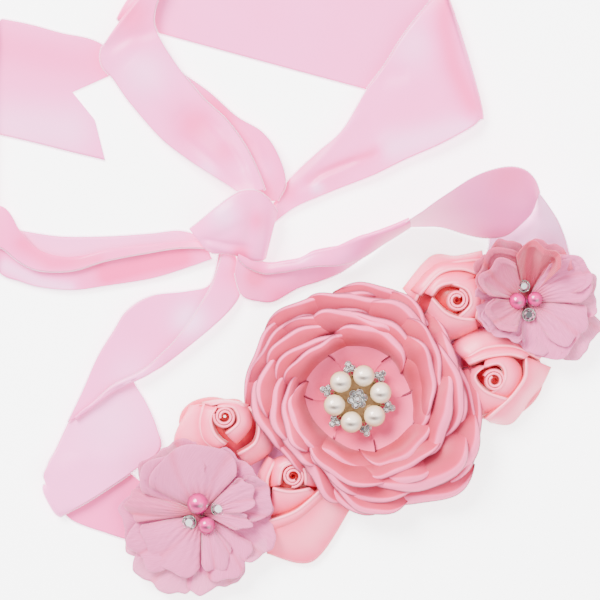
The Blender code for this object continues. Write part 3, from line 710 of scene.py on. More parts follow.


# A row is a station along the ribbon: x, y and z of each line across it, named above the rows.
# tone: painted shade (above 0) or painted highlight (below 0) over the whole stretch; tints: painted shade
# or highlight at a place or path, its radius and how far to go.
# creases: path, height (below 0 for a trough) and width. roll: outermost line, way in and radius.
ribbonTables = {
    "belt": {
        "waves": 0,
        # upper edge, lower edge
        "rows": (
            (-55.5, -65, 0.5, -33, -97.5, 0.5), (5.5, -24.5, 0.5, 28, -57, 0.5),
            (66.5, 16.5, 0.5, 89, -16.5, 0.5),
        ),
    },
    "left_turn": {
        "tone": 0.55, "waves": 0,
        # upper edge, lower edge, from the belt to the left roll
        "rows": (
            (-55.5, -65, 0.5, -33, -97.5, 0.5), (-63, -59, 0.5, -52.5, -88, 0.5),
            (-69, -55, 0.5, -67, -83, 0.5), (-77, -56.5, 0.5, -76, -80, 0.5),
            (-84.5, -60, 0.5, -80.5, -78, 0.5), (-89, -65, 0.5, -83, -76, 0.5),
        ),
    },
    "left_fold": {
        "tone": -0.15, "waves": 0.25, "rests": ["left_turn"],
        "tints": (((-67, -42), 12, -0.3),),
        "roll": (((-91.5, -66), (-85.5, -77)), (1, 0), 2),
        # outer edge, inner edge, from the left roll to under the left strand
        "rows": (
            (-90.5, -61.5, 4.4, -76.5, -72, 3.6), (-89.5, -59, 4, -67, -66, 2.8),
            (-88.5, -56.5, 3.4, -59, -60.5, 2.2), (-86.5, -53, 2.8, -49.5, -53, 2),
            (-83, -45.5, 2.2, -50.5, -45.5, 2), (-78.5, -36, 2, -54, -37, 1.9),
            (-73.5, -25, 1.8, -58.5, -29.5, 1.8), (-68.5, -16, 1.6, -61, -23.5, 1.6),
        ),
        "creases": (
            (((-84, -60), (-76, -56), (-62, -57)), 0.5, 4),
            (((-76, -30), (-74, -42), (-77, -54)), 0.35, 5),
        ),
    },
    "left_strand": {
        "folded": 0.2, "rests": ["left_fold"],
        "tints": (((-39, -7), 6, -0.9), ((-25, 9), 5, 0.4), ((-60, -27), 8, -0.3)),
        # top edge, fold, edge below, from the knot down to the left fold
        "rows": (
            (-27, 17.5, 4.8, -23, 16.5, 3.2, -28.5, 17, 2), (-30.5, 6.5, 5, -21, 4, 2.8, -32, 5.5, 2),
            (-34.5, -1, 5.6, -24.5, -3, 3.4, -40.5, 3, 3.4),
            (-39, -8, 5.8, -30, -8.5, 3.8, -52.5, 1.5, 4.4),
            (-44, -14.5, 5.6, -37, -14.5, 4.2, -61, -3.5, 4.2),
            (-48, -18.5, 5.4, -45.5, -21, 4.2, -66, -11, 3.6),
            (-54.4, -24, 5, -53, -26, 4.2, -71.5, -20, 3.4),
            (-66.4, -30.6, 4.7, -65.2, -32, 4.1, -76.5, -31.5, 3.4),
            (-79.6, -41.6, 4.1, -79.2, -42.2, 3.9, -82, -43, 3.5),
        ),
    },
    "right_strand": {
        "tone": 0.3, "folded": 0.4, "rests": ["knot_wrap"],
        "tints": (((-16, 8), 4, 0.9), ((18, 12), 7, -0.5), ((-8, 2), 5, 0.4), ((2, 15), 5, -0.4)),
        # free edge of the flap, fold, edge below, from the knot to the waist of the right loop
        "rows": (
            (-22, 15, 7.2, -21.5, 17, 6.8, -23, 9.5, 6.6),
            (-18.5, 11.6, 6.6, -17.8, 15.4, 6, -20.5, 1.6, 4.6),
            (-13, 9.5, 5.6, -12.5, 13.2, 5, -14.6, -0.5, 2.2), (-7.5, 10, 6, -7, 13.5, 5.6, -9, -0.5, 1.8),
            (-0.5, 11, 7.2, -0.5, 14.5, 6.6, -1, 4, 1.8), (6, 12, 8.2, 4.5, 17, 8, 6.5, 6.5, 1.8),
            (14, 12.5, 8.6, 13.5, 19, 11, 14, 9.5, 1.8), (22.5, 15, 8, 21, 22, 15, 21.5, 14.5, 1.8),
            (30.5, 20.5, 8, 29.5, 24.5, 18, 30, 21, 1.8), (38.6, 25.2, 9.2, 38.2, 28, 20.2, 38.2, 26.2, 2),
        ),
    },
    "right_loop_back": {
        "rests": ["right_strand"],
        "tints": (((72, 44), 9, 0.7), ((57, 27), 10, -0.3)),
        # standing edge, lower edge, from the waist round the outside of the loop
        "rows": (
            (36.8, 27, 20.8, 37, 25.8, 1), (49.5, 35.8, 28, 48, 26, 1), (59.5, 42, 32, 57.5, 23.5, 1.6),
            (66.5, 45.2, 33, 66, 22, 3), (73, 46.2, 34, 72.5, 22.8, 5.5),
            (78.2, 44.9, 34.2, 77.5, 26.5, 10), (81.6, 41.6, 33.2, 80.8, 29.8, 13.5),
            (83.3, 37.4, 31, 82.2, 32.8, 15.5),
        ),
    },
    "right_loop_front": {
        "tone": -1, "waves": 0.15, "rests": ["belt"],
        # outer edge, inner edge, from the turn of the loop down to the belt
        "rows": (
            (83.1, 37, 30.8, 82.2, 32.6, 4), (86.4, 32.8, 27, 81, 31.2, 2.5),
            (90.5, 27, 20, 78, 29.5, 1.2), (94, 19, 9, 72, 26.5, 0.8), (96, 10.5, 2.5, 67.5, 22.5, 0.5),
            (96.5, 1.5, 1, 67, 19.5, 0.5), (94, -8.5, 0.6, 66.5, 17.5, 0.5),
            (89, -16.5, 0.5, 66.5, 16.5, 0.5),
        ),
    },
    "knot_wrap": {
        "bow": 2, "waves": 0, "rests": ["loop_top", "loop_front"],
        "tints": (((-21, 16), 3.5, 1.2), ((-15, 28), 4, 0.7), ((-27, 30), 5, -0.7)),
        # upper edge, lower edge, over the knot from left to right
        "rows": (
            (-39, 25, 5.4, -33.5, 18, 5.8), (-34.5, 28.5, 8, -30.5, 16.5, 6.4),
            (-29.5, 32.5, 10, -26, 16.5, 6.6), (-22.5, 37.5, 11.2, -20, 15, 6.8),
            (-16, 38.5, 11, -16.5, 14, 6.6), (-11, 35.5, 9, -13.5, 14, 5.6), (-8, 31, 5.4, -12, 15, 3.6),
        ),
        "creases": (
            (((-37, 20.5), (-29, 22), (-21, 26)), -0.35, 1.8),
            (((-17, 34), (-17.5, 26), (-18, 19)), -0.9, 2.2),
            (((-31, 29), (-24, 32), (-21, 27)), 0.45, 2.4),
            (((-33, 19.4), (-27, 17.8), (-21, 17), (-16, 15.8)), 0.7, 0.9),
            (((-34, 21.4), (-27, 19.8), (-21, 19), (-17, 18)), -0.6, 0.8),
        ),
    },
    "loop_front": {
        "bow": 0.6, "rests": ["loop_back"],
        "tints": (
            (((51, 112), (51, 96), (54, 83), (61, 68)), 4.5, 0.8),
            (((58, 60), (46, 57), (34, 54)), 6, -0.7), (((26, 52), (14, 47.5), (4, 42)), 2.5, 0.6),
            ((6, 39.6), 2.5, -0.8), ((40, 90), 8, -0.4), ((-4, 38), 4, 0.6), (((12, 60), (0, 46)), 3, 0.4),
        ),
        "roll": (((51.6, 110.5), (65.5, 64.4)), (-1, 0), 2.4),
        # upper edge, lower edge, from the right roll down to the knot
        "rows": (
            (37, 94, 5.6, 60.4, 60.9, 4.6), (30, 83, 5, 49.5, 55, 4.2), (23, 73.5, 4.4, 37, 49.5, 3.4),
            (15, 60, 4.4, 25.5, 44, 3), (6.5, 52.5, 4, 11.5, 38.5, 2.6), (-1, 45.5, 2.6, -0.5, 33.5, 2.2),
            (-6, 39.5, 1.9, -7.5, 28.5, 1.9), (-9.5, 33.5, 1.8, -11, 25, 3.2),
        ),
        "creases": (
            (((25.5, 51.3), (14.5, 47.4), (7.4, 44.6), (3.9, 41.8)), -1, 1.5),
            (((6.7, 41.8), (5, 37.5)), 0.5, 1.2), (((26.5, 55), (26.5, 50.5)), -0.5, 1.2),
            (((40.7, 76.8), (47.4, 68.3)), -0.4, 2), (((28, 79), (38.5, 80)), -0.8, 3.5),
            (((22, 66), (10, 52), (-3, 39)), 0.5, 2), (((34, 60), (18, 47), (-2, 36)), 0.4, 1.8),
        ),
    },
    "loop_back": {
        "waves": 0,
        # upper edge, lower edge, along the surface from the left roll to the right roll
        "rows": (
            (-36, 132, 0.5, -62.5, 98, 0.5), (-17.5, 127, 0.5, -35.5, 90.5, 0.5),
            (10.5, 119.5, 0.5, 10.5, 78, 0.5), (47.2, 111, 0.5, 61, 64.6, 0.5),
        ),
    },
    "loop_top": {
        "bow": 0.5, "rests": ["loop_back", "loop_under"],
        "tints": (
            ((-60, 101), 9, 0.8), ((-55, 80), 9, -0.5), ((-37, 62), 8, 0.8), ((-27, 52), 5, 0.6),
            ((-33, 45), 4, -0.5),
        ),
        "roll": (((-40, 133.5), (-65.4, 99.8)), (1, 0), 2.4),
        # right edge, left edge, from the top roll down to the knot
        "rows": (
            (-43, 122, 5.5, -68.5, 91.5, 5.3), (-48.5, 110.5, 5.6, -70.5, 86.5, 4.6),
            (-51.5, 101, 5.6, -69.5, 82, 3.8), (-50.5, 94.5, 5.2, -66, 78, 3.2),
            (-43.5, 83, 4.6, -60, 69.5, 3.2), (-34.5, 71.5, 4.6, -49.5, 57.5, 3.6),
            (-26, 63.5, 5.6, -39.5, 49.5, 4.8), (-19.5, 54.5, 7.2, -31, 44, 6.4),
            (-15, 45.5, 8.2, -24, 39.5, 7.6), (-12.5, 39, 9.2, -20.5, 37, 9),
        ),
        "creases": (
            (((-69, 88), (-60, 93), (-51, 95)), -0.7, 2.2), (((-60, 84), (-50, 74), (-42, 66)), 0.8, 4.5),
            (((-34, 65), (-26, 57), (-19, 46)), -0.7, 1.8), (((-42, 58), (-32, 50), (-22, 40)), -0.4, 1.6),
            (((-28, 60), (-21, 51), (-16, 42)), 0.5, 1.4),
        ),
    },
    "loop_under": {
        "tone": 0.4, "waves": 0.15, "rests": ["loop_back"],
        "tints": (((-30, 65), 7, 0.6), ((-12, 46), 4, -0.4)),
        # right edge, left edge, the half of the loop that is folded below its top
        "rows": (
            (-42, 80.5, 2.4, -52.5, 70, 1.8), (-32, 73.5, 2.8, -44.5, 60, 2.5),
            (-22.5, 65, 3.2, -36, 52, 2.7), (-13.5, 59.5, 4, -28, 46.5, 3.9), (-8, 52, 4.8, -22, 42, 5.1),
            (-5, 42, 4.4, -17.5, 38, 5.2), (-8, 35, 3.9, -13.5, 35, 4.6),
        ),
        "creases": (
            (((-36, 70), (-20, 55), (-13, 38)), -0.6, 1), (((-28, 68), (-15, 55), (-9, 38)), 0.5, 1),
        ),
    },
    "second_tail": {
        "tone": -0.2, "waves": 0,
        # upper edge, lower edge, on the surface to the left of the knot
        "rows": (
            (-33.5, 22, 0.5, -31.5, 15, 0.5), (-42.5, 24.5, 0.5, -42, 12, 0.5),
            (-53, 23.5, 0.5, -52.5, 9, 0.5), (-68.5, 22.5, 0.5, -68.5, 6, 0.5),
            (-85, 22.5, 0.5, -85, 5, 0.5), (-99, 24.5, 0.5, -98.5, 7.5, 0.5),
            (-106, 25, 0.5, -105, 10.5, 0.5),
        ),
    },
    "tail_folded": {
        "tone": 0.45, "folded": 0, "rests": ["second_tail"],
        "tints": (
            (((-104, 12), (-92, 6), (-82, 4)), 3.5, -1), (((-68, 9), (-52, 13), (-42, 15)), 4, 0.7),
            (((-98, 20), (-88, 13), (-72, 14)), 3, 0.4),
        ),
        # top edge, fold, edge below, from the knot out to the left
        "rows": (
            (-32.5, 18.5, 4.8, -34.5, 21, 3.2, -31, 14.5, 2.4),
            (-42.5, 18.5, 3.9, -42.5, 20.5, 2.6, -42.5, 10.5, 1.8),
            (-53, 17, 3.8, -53, 19.5, 2.6, -53, 7.5, 1.8),
            (-68.5, 14, 3.8, -68.5, 17.5, 2.6, -68.5, 5, 1.8),
            (-80.5, 10.5, 3.9, -80.5, 15, 2.6, -80.5, 3.5, 1.8),
            (-92, 10.5, 4, -92, 17.5, 2.6, -92, 4.5, 1.8), (-99, 13.5, 3.8, -99, 24.5, 2.6, -99, 6.5, 1.8),
            (-105.5, 18.5, 3.6, -105.5, 33, 2.6, -105.5, 9, 1.8),
            (-114, 21, 3.4, -118, 33, 2.6, -109.5, 15.5, 1.8),
        ),
    },
    "tail_turn": {
        "tone": 0.1, "rests": ["tail_end", "second_tail"],
        "roll": (((-149, 49.5), (-109, 9.5)), (1, 0), 2.6),
        "endRoll": (((-149, 69.5), (-109, 100.5)), (1, -1), 2.4),
        # left edge, right edge, up the left side between its two rolls
        "rows": (
            (-149, 56.5, 5.2, -109, 25, 5.4), (-149, 60, 4.4, -109, 46.5, 4.8),
            (-149, 64.5, 4.6, -109, 73.5, 4.4),
        ),
        "creases": ((((-135, 45), (-128, 62), (-131, 76)), -0.5, 4),),
    },
    "tail_end": {
        "waves": 0,
        "tints": ((((-104, 90), (-86, 86), (-68, 82)), 8, 0.45), (((-104, 62), (-82, 60)), 9, -0.5)),
        # upper edge, quarter, middle, three quarters, lower edge: the last row is the cut swallowtail
        "rows": (
            (-105.5, 99.5, 0.5, -115.2, 91.5, 0.5, -125, 83.5, 0.5, -135, 75.7, 0.5, -145, 68, 0.5),
            (-95.5, 97.5, 0.5, -100.5, 88.5, 0.5, -105.5, 79.5, 0.5, -111.2, 70.2, 0.5, -117, 61, 0.5),
            (-84.5, 94.5, 0.5, -89.2, 85.8, 0.5, -94, 77, 0.5, -95.4, 67.2, 0.5, -97.5, 56.5, 0.5),
            (-72, 91.5, 0.5, -78.6, 83.4, 0.5, -86, 75, 0.5, -82.8, 65.4, 0.5, -81.5, 52.5, 0.5),
            (-59.5, 83, 0.5, -69, 78.6, 0.5, -80.5, 73.5, 0.5, -72.6, 63.7, 0.5, -69, 49.5, 0.5),
        ),
    },
}
selvedges = []


def ribbonGrid(table):
    cell = ribbonCut["cell"]
    rows = np.array(table["rows"], float).reshape(len(table["rows"]), -1, 3)
    if "folded" in table:
        reach = np.linalg.norm(rows[:, 1] - rows[:, 2], axis=1).max()
        return smoothRows(foldedRows(rows, max(6, round(reach / cell)), table["folded"]), cell)
    width = np.linalg.norm(rows[:, 0] - rows[:, -1], axis=1).max()
    count = max(8, 2 * round(width / cell / 2))
    sections = [fillAcross(rows, count, table.get("bow", 0.0))]
    if "roll" in table:
        sections.insert(0, rollRows(*table["roll"], count))
    if "endRoll" in table:
        sections.append(rollRows(*table["endRoll"], count)[::-1])
    return smoothRows(np.concatenate(sections), cell)


def edgeDistance(grid):
    # distance from the nearer long edge of the ribbon
    across = gridLengths(grid)[1]
    return np.minimum(across, across[:, -1:] - across)


def paintedRibbonShading(grid, table):
    # painted shade (above 0) and painted highlight (below 0): the stretch's tone, plus patches round places
    # and paths
    tint = np.full(grid.shape[:2], float(table.get("tone", 0)))
    for place, radius, amount in table.get("tints", ()):
        path = np.array(place, float).reshape(-1, 2)
        gap = pathDistance(grid[..., :2], np.concatenate([path, path[-1:] + 0.01]))[0]
        tint += amount * np.exp(-(gap / radius) ** 2)
    return np.clip(tint, -1, 1)


def makeRibbon(number, node, table):
    lastColumn = ribbonCut["upperLayer"] if "folded" in table else 1.0
    grid = addCreases(ribbonGrid(table), table.get("creases", ()), lastColumn)
    grid = addWaves(grid, table.get("waves", ribbonCut["waves"]), number)
    # edge feeds the woven selvedge band; the second value is painted shade and highlight
    fields = {"edge": edgeDistance(grid), "tint": paintedRibbonShading(grid, table)}
    name = pieceName(node, "Ribbon")
    piece = clothObject(name, node, [(grid, fields)], ribbonCut["wall"], ribbonSatin)
    along, across = gridLengths(grid)
    normals = gridNormals(grid)
    selvedges.append((grid[:, 0], normals[:, 0]))
    selvedges.append((grid[:, -1], normals[:, -1]))


for number, (node, table) in enumerate(ribbonTables.items()):
    makeRibbon(number, node, table)
print("ribbon made:", len(ribbonTables), "stretches")


# Picot edge: a row of tiny thread loops along both selvedges

def pathLengths(path):
    return np.concatenate([[0], np.cumsum(np.linalg.norm(np.diff(path, axis=0), axis=1))])


def pick(places, lengths, values):
    return np.stack([np.interp(places, lengths, column) for column in values.T], -1)


def makeScatterTree(name, labels, makeItem):
    # puts an item on every point, its Z along the point's facing
    tree = bpy.data.node_groups.new(name, "GeometryNodeTree")
    kinds = {"Geometry": "Geometry", **dict.fromkeys(labels, "Float"), "Material": "Material"}
    for label, kind in kinds.items():
        tree.interface.new_socket(label, in_out="INPUT", socket_type="NodeSocket" + kind)
    tree.interface.new_socket("Geometry", in_out="OUTPUT", socket_type="NodeSocketGeometry")
    given = tree.nodes.new("NodeGroupInput").outputs
    facing = addNode(tree, "GeometryNodeInputNamedAttribute", {"Name": "facing"}, data_type="FLOAT_VECTOR")
    turned = addNode(tree, "FunctionNodeAlignRotationToVector", {"Vector": facing.outputs[0]}, axis="Z")
    dots = addNode(tree, "GeometryNodeInstanceOnPoints", {
        "Points": given["Geometry"],
        "Instance": makeItem(tree, given),
        "Rotation": turned.outputs[0],
    })
    real = addNode(tree, "GeometryNodeRealizeInstances", {"Geometry": dots.outputs[0]})
    values = {"Geometry": real.outputs[0], "Material": given["Material"]}
    finished = addNode(tree, "GeometryNodeSetMaterial", values)
    addNode(tree, "NodeGroupOutput", {"Geometry": finished.outputs[0]})
    return tree


def scatter(name, points, directions, tree, values):
    # runs the tree on a cloud of points and leaves its result there as a plain mesh
    mesh = newMesh(name, points, [])
    facing = mesh.attributes.new("facing", "FLOAT_VECTOR", "POINT")
    facing.data.foreach_set("vector", np.asarray(directions, np.float32).ravel())
    holder = addObject(name, mesh)
    modifier = holder.modifiers.new("build", "NODES")
    modifier.node_group = tree
    sockets = {item.name: item.identifier for item in tree.interface.items_tree if item.in_out == "INPUT"}
    for label, value in values.items():
        modifier[sockets[label]] = value
    holder.update_tag()
    bpy.context.view_layer.update()
    evaluated = holder.evaluated_get(bpy.context.evaluated_depsgraph_get())
    mesh = bpy.data.meshes.new_from_object(evaluated)
    holder.modifiers.remove(modifier)
    holder.data = mesh
    mesh.shade_smooth()
    settle(holder, None)


def threadLoop(tree, given):
    circle = "GeometryNodeCurvePrimitiveCircle"
    loop = addNode(tree, circle, {"Resolution": 8, "Radius": given["Loop Radius"]}).outputs[0]
    thread = addNode(tree, circle, {"Resolution": 3, "Radius": given["Thread Radius"]}).outputs[0]
    return addNode(tree, "GeometryNodeCurveToMesh", {"Curve": loop, "Profile Curve": thread}).outputs[0]


def makePicot():
    points, directions = [], []
    for line, normals in selvedges:
        lengths = pathLengths(line)
        places = np.arange(picotLook["pitch"] / 2, lengths[-1], picotLook["pitch"])
        points.append(pick(places, lengths, line))
        directions.append(pick(places, lengths, normals))
    points = np.concatenate(points)
    tree = makeScatterTree("threadLoops", ("Loop Radius", "Thread Radius"), threadLoop)
    scatter("picotEdge", points, np.concatenate(directions), tree, {
        "Loop Radius": picotLook["radius"] * millimetre,
        "Thread Radius": picotLook["thread"] * millimetre,
        "Material": picotThread,
    })
    print("picot edge made:", len(points), "loops")


makePicot()


# Big flower: rings of cupped satin petals with singed, curled rims

def around(values, angle):
    # smooth value in a direction, from values spaced evenly round the circle from +X
    values = np.asarray(values, float)
    count = len(values)
    place = (np.asarray(angle) / (2 * math.pi)) % 1 * count
    first = np.floor(place).astype(int)
    return curveAt([values[(first + k) % count] for k in (-1, 0, 1, 2)], place - first)


def petalPlaces(cells):
    # share of the way out, and place across from -1 to 1
    rows, cols = cells
    return np.linspace(0, 1, rows + 1)[:, None], np.linspace(-1, 1, cols + 1)[None, :]


def roundGrid(middle, reach, angle, level):
    x = middle[0] + reach * np.cos(angle)
    y = middle[1] + reach * np.sin(angle)
    return np.stack(np.broadcast_arrays(x, y, level), -1)


bigFlower = {
    "wall": 0.4,
    "seat": 1.8,
    "layerStep": 1.3,
    "cells": (26, 36),
    "lipFrom": 0.7,
    "lip": (3.4, 4.0, 3.0, 2.4, 2.0, 1.8, 2.4, 3.4, 3.8, 3.6, 4.4, 4.4),
    "reach": (42.0, 38.0, 40.0, 39.0, 39.3, 40.0, 39.4, 33.5, 31.5, 39.0, 43.0, 47.5),
    "rings": (
        # node, radius, flat part, rise, petals, turn in degrees, unevenness, half span, spiral, looseness
        ("petals_outer", 39.3, 26.0, 8.5, 8, 20, 1.0, 34, 0.06, 0.3),
        ("petals_second", 37.6, 24.8, 10.0, 8, 48, 0.92, 30, 0.11, 1.0),
        ("petals_third", 35.0, 23.0, 10.8, 7, 5, 0.8, 34, 0.12, 1.0),
        ("petals_fourth", 32.2, 21.6, 11.2, 7, 33, 0.65, 34, 0.12, 1.0),
        ("petals_fifth", 29.5, 20.2, 11.2, 6, 70, 0.44, 39, 0.12, 1.0),
        ("petals_sixth", 26.6, 17.6, 9.4, 6, 12, 0.4, 40, 0.10, 1.0),
    ),
}


def cuppedPetal(level, ring, number, draw):
    look = bigFlower
    radius, flat, rise, petals, turn, share, halfSpan, spiral, loose = ring
    base = look["seat"] + level * look["layerStep"]
    t, s = petalPlaces(look["cells"])
    middle = math.radians(turn + 360 / petals * number + draw.uniform(-8, 8))
    half = math.radians(halfSpan * draw.uniform(0.9, 1.12))
    angle = middle + half * s
    stretch = around(look["reach"], angle) / (sum(look["reach"]) / len(look["reach"]))
    uneven = 1 + (stretch - 1) * share
    lean = rise * (1 + 1.6 * share * np.maximum(0, 1 - stretch))
    corner = ramp(np.abs(s), 0.5) ** 2
    lens = np.maximum(1 - np.abs(s) ** 1.7, 0.02)
    lip = around(look["lip"], angle) * draw.uniform(0.6, 1.5) * lens
    rim = radius * uneven * (1 + spiral * s) + draw.uniform(-2.2, 0.4) * loose
    rim = rim + draw.uniform(0.6, 1.5) * np.sin(3.4 * s + draw.uniform(0, 6))
    rim = rim + 0.3 * np.sin(9.0 * s + draw.uniform(0, 6)) - 3.6 * corner * (0.5 + 0.5 * loose)
    height = lean * (1 - 0.6 * corner) + draw.uniform(-1.8, 1.2)
    height = height + draw.uniform(0.4, 0.9) * np.sin(4.5 * s + draw.uniform(0, 6))
    # up the inside to the fold, then out over the curled lip
    turned = ramp(t, look["lipFrom"])
    body = np.clip(t / look["lipFrom"], 0, 1)
    start, fold = flat * uneven, rim - 0.75 * lip
    r = start + (fold - start) * (0.35 * body + 0.65 * body ** 2.4) + 0.75 * lip * turned ** 0.9
    z = base + height * np.sin(body * math.pi / 2) ** 1.4
    z = z + 0.3 * np.sin(math.pi * turned) - lip * 0.45 * turned ** 2
    z = z + 0.3 * np.sin(8 * s + draw.uniform(0, 6)) * t ** 3
    z = np.maximum(z, base + 0.3 * t) + 0.9 * s * (1 - t) + 0.6 * s * t
    grid = roundGrid(bigFlowerMiddle, r, angle, z)
    along = gridLengths(grid)[0]
    edge = np.minimum(along[-1:] - along, (1 - np.abs(s)) * radius * half)
    # painted light and shade: low values give painted shade deep down the inside, high values painted light
    # high on the body and on the curled lip
    paintedLight = 0.4 * ramp(body, 0.62) ** 2.2 + 0.5 * np.clip(turned * 4, 0, 1) * np.clip(lens * 2.5, 0, 1)
    return grid, {"edge": edge, "lip": paintedLight}


def makeBigFlower():
    for level, (node, *ring) in enumerate(bigFlower["rings"]):
        draw = random.Random(node)
        petals = [cuppedPetal(level, ring, number, draw) for number in range(ring[3])]
        name = pieceName(node, "Satin")
        gatheredCloth(name, node, petals, bigFlower["wall"], petalSatin)


discLook = {
    "radius": 21.0,
    "rise": 4.6,
    "slits": (1, 58, 118, 183, 237, 292),
    "overlap": 1.2,
    "base": 9.6,
    "hole": 1.0,
    "cells": (30, 34),
}


def makeFlowerDisc(look):
    # flat inner ring of six petals, slit between them, their rims curled up
    draw = random.Random(5)
    t, s = petalPlaces(look["cells"])
    side = np.abs(s)
    petals = []
    ends = (*look["slits"][1:], look["slits"][0] + 360)
    for number, (start, end) in enumerate(zip(look["slits"], ends)):
        half = math.radians((end - start) / 2 + look["overlap"])
        angle = math.radians((start + end) / 2) + half * s
        angle = angle + 0.16 * np.sin(3 * angle + 0.8) * ramp(t, 0.6) ** 1.6
        outline = look["radius"] * (1 - 0.04 * side ** 2 - 0.07 * side ** 9) + draw.uniform(-0.7, 0.9)
        r = look["hole"] + (outline - look["hole"]) * t
        cup = ramp(t, 0.62)
        z = look["base"] + look["rise"] * cup ** 1.6 * (1 - 0.25 * side ** 2)
        z = z + 0.6 * ramp(side, 0.88) ** 2 * ramp(t, 0.76) + 0.35 * s * ramp(t, 0.7)
        z = z + 0.5 * np.sin(4 * s + number) * t ** 2 * (1 - s ** 2) + 0.25 * np.sin(3.0 * angle + 4 * t)
        grid = roundGrid(bigFlowerMiddle, r, angle, z)
        along = gridLengths(grid)[0]
        slit = (1 - side) * half * r * 1.6 + 12.0 * ramp(-t, -0.8, -0.7)
        # painted light: lighter towards the cupped-up rim
        petals.append((grid, {"edge": np.minimum(along[-1:] - along, slit), "lip": 0.56 + 0.2 * cup}))
    node, name = "petals_inner", "petalsInnerSatin"
    gatheredCloth(name, node, petals, bigFlower["wall"], petalSatin)


makeBigFlower()
makeFlowerDisc(discLook)
print("big flower made")


# Rolled ribbon roses: a tight bud and wraps folded round it

roses = {
    # reach: the pocket's edge east and on round by eighths. Wraps from the inside out:
    # x, y of the rim, x, y of the panel's far side, rim height and far side height, all from the bud
    "rosette_upper": {
        "bud": (55.2, 0), "height": 13, "turn": 40, "hand": 1,
        "reach": (10, 12, 15, 18, 16, 11, 15, 13),
        "wraps": (
            ((-1.9, 5.6, 3.4, 3.4, 4.6, -1.4, 0.7, -5.6), (1, 9, 8.4, 6.4, 8.6, -3.4, 2, -9), 12.4, 8.6),
            ((-8.7, 1.4, -6, 4.6, -1.4, 5.8, 3.4, 5), (-12, 2.6, -7, 8.6, 0, 10.2, 7, 8.6), 11.6, 9.2),
            ((-8.7, 0.8, -4, -4, 0.7, -6, 6.4, -6.6), (-11, -6, -6, -14, 0, -13.6, 7.6, -10.4), 11.4, 3.4),
            ((6.2, 6.4, 7, 1, 6.6, -6.4), (12, 8, 12.6, 0, 9.6, -9.6), 10.8, 4),
            (
                (-12.8, 1.6, -5.8, 9.1, 1.5, 10.6, 8.4, 8.4), (-16.4, 3.4, -7.6, 12.6, 1, 13.6, 9.6, 14),
                10.6, 7.4,
            ),
            ((-14.6, -1.2, -8.6, 9.8, 1, 13, 9.4, 13.8), (-19, 4, -9, 15.4, 0, 15.6, 9.2, 17.5), 8.6, 2.6),
        ),
    },
    "rosette_right": {
        "bud": (68.3, -28.3), "height": 13, "turn": 120, "hand": 1,
        "reach": (18.5, 18, 14.5, 15, 9.5, 8.5, 15, 16),
        "wraps": (
            (
                (-3.6, 4.6, 1, 5.8, 3.4, 3.6, 3, -0.4, -1, -4.2),
                (-3, 8, 5, 8.6, 9.6, 4, 8.6, -2, 4.6, -6.6), 12.4, 8.8,
            ),
            (
                (-3, 5, -6.6, 1.4, -2.8, -3.6, 4.9, -6.4), (-8, 5.6, -9.6, -0.6, -5.4, -13, 5, -12), 11.6,
                3.2,
            ),
            (
                (-8.8, 5.6, -2.3, 8, 5.4, 8.9, 10.6, 7.7), (-10.6, 7.6, -2.8, 11.4, 6.6, 12, 13.4, 9.6),
                11.2, 8.4,
            ),
            ((-10, 7, -3, 11, 6.4, 11.6, 16, 7.4), (-15.8, 11.6, -6.5, 18, 7, 15, 18.4, 9.4), 9.4, 3),
            (
                (11, 8.4, 10.7, 1.8, 8, -2.9, 4.4, -7, -3.1, -13.6),
                (20.4, 4.6, 17.4, -1.6, 13.2, -7, 6.5, -15.3, -1, -15), 10.6, 2.4,
            ),
        ),
    },
    "rosette_left": {
        "bud": (-26.5, -41), "height": 12.5, "turn": 200, "hand": -1,
        "reach": (10, 8, 6.2, 9.6, 16.6, 17, 15, 17),
        "wraps": (
            ((-2.6, 3.2, 2.9, 3, 4.6, -1.8, 0.3, -5.8), (-2, 4.9, 7, 4.3, 9.4, -3, 4, -10), 12, 8.6),
            ((-2.4, 3.6, -4.6, -1, -3, -6.2, 0.6, -9.6), (-9, 4, -10, -3, -9, -9, -4, -13), 11.2, 7),
            ((-4.8, 3.9, 0.6, 4.7, 7.2, 3.3), (-8.6, 4.8, -0.8, 5.8, 9.6, 4.2), 10.8, 5),
            (
                (8.2, 3.4, 11.6, -1.8, 10.6, -8.8, 4.6, -13), (11.6, 3.8, 15, -3, 16.6, -12, 8, -18), 10.2,
                3,
            ),
            (
                (-6.8, 4.6, -8.2, -2, -6.4, -8.4, 1, -13.4), (-12.6, 3.6, -18, -8.6, -12, -14, 0, -17),
                9.2, 2.4,
            ),
        ),
    },
    "rosette_lower": {
        "bud": (-2.5, -62), "height": 11, "turn": 300, "hand": -1,
        "reach": (10, 8, 7, 9, 11, 16, 27, 20),
        "wraps": (
            (
                (-4.6, -3, -3.4, 2.6, 0.5, 4.2, 3.8, 1.8, 4.2, -3), (-8, -4, -7, 5, 1, 7.6, 8, 4, 8.4, -4),
                10.6, 6.6,
            ),
            ((-7, -4, -1, -5.2, 5.9, -4.2), (-8.4, -14.6, 0, -12.6, 9, -6.6), 9.8, 5.4),
            ((-8.4, -6.4, -8.6, -1, -6, 5), (-12.6, -6.6, -12.4, 0, -9, 7), 8.6, 2.6),
            ((-8.6, -15.6, 1, -12, 10.4, -4), (-9.4, -19.6, 1.6, -15.6, 12.6, -6), 8.8, 6.8),
            ((-9, -18, 1.4, -14.4, 12, -5), (-9.2, -27.6, 7, -30.4, 20, -12.3), 7.4, 2),
        ),
    },
}
roseCut = {
    "wall": 0.35,
    "lipRadius": 0.38,
    "budRadius": 1.3,
    "budTurns": 2.1,
    "budPitch": 1.05,
    "budSteps": 90,
    "seat": 2.6,
    "floor": 2.0,
    "wrapColumns": 45,
    "panelRows": 14,
}


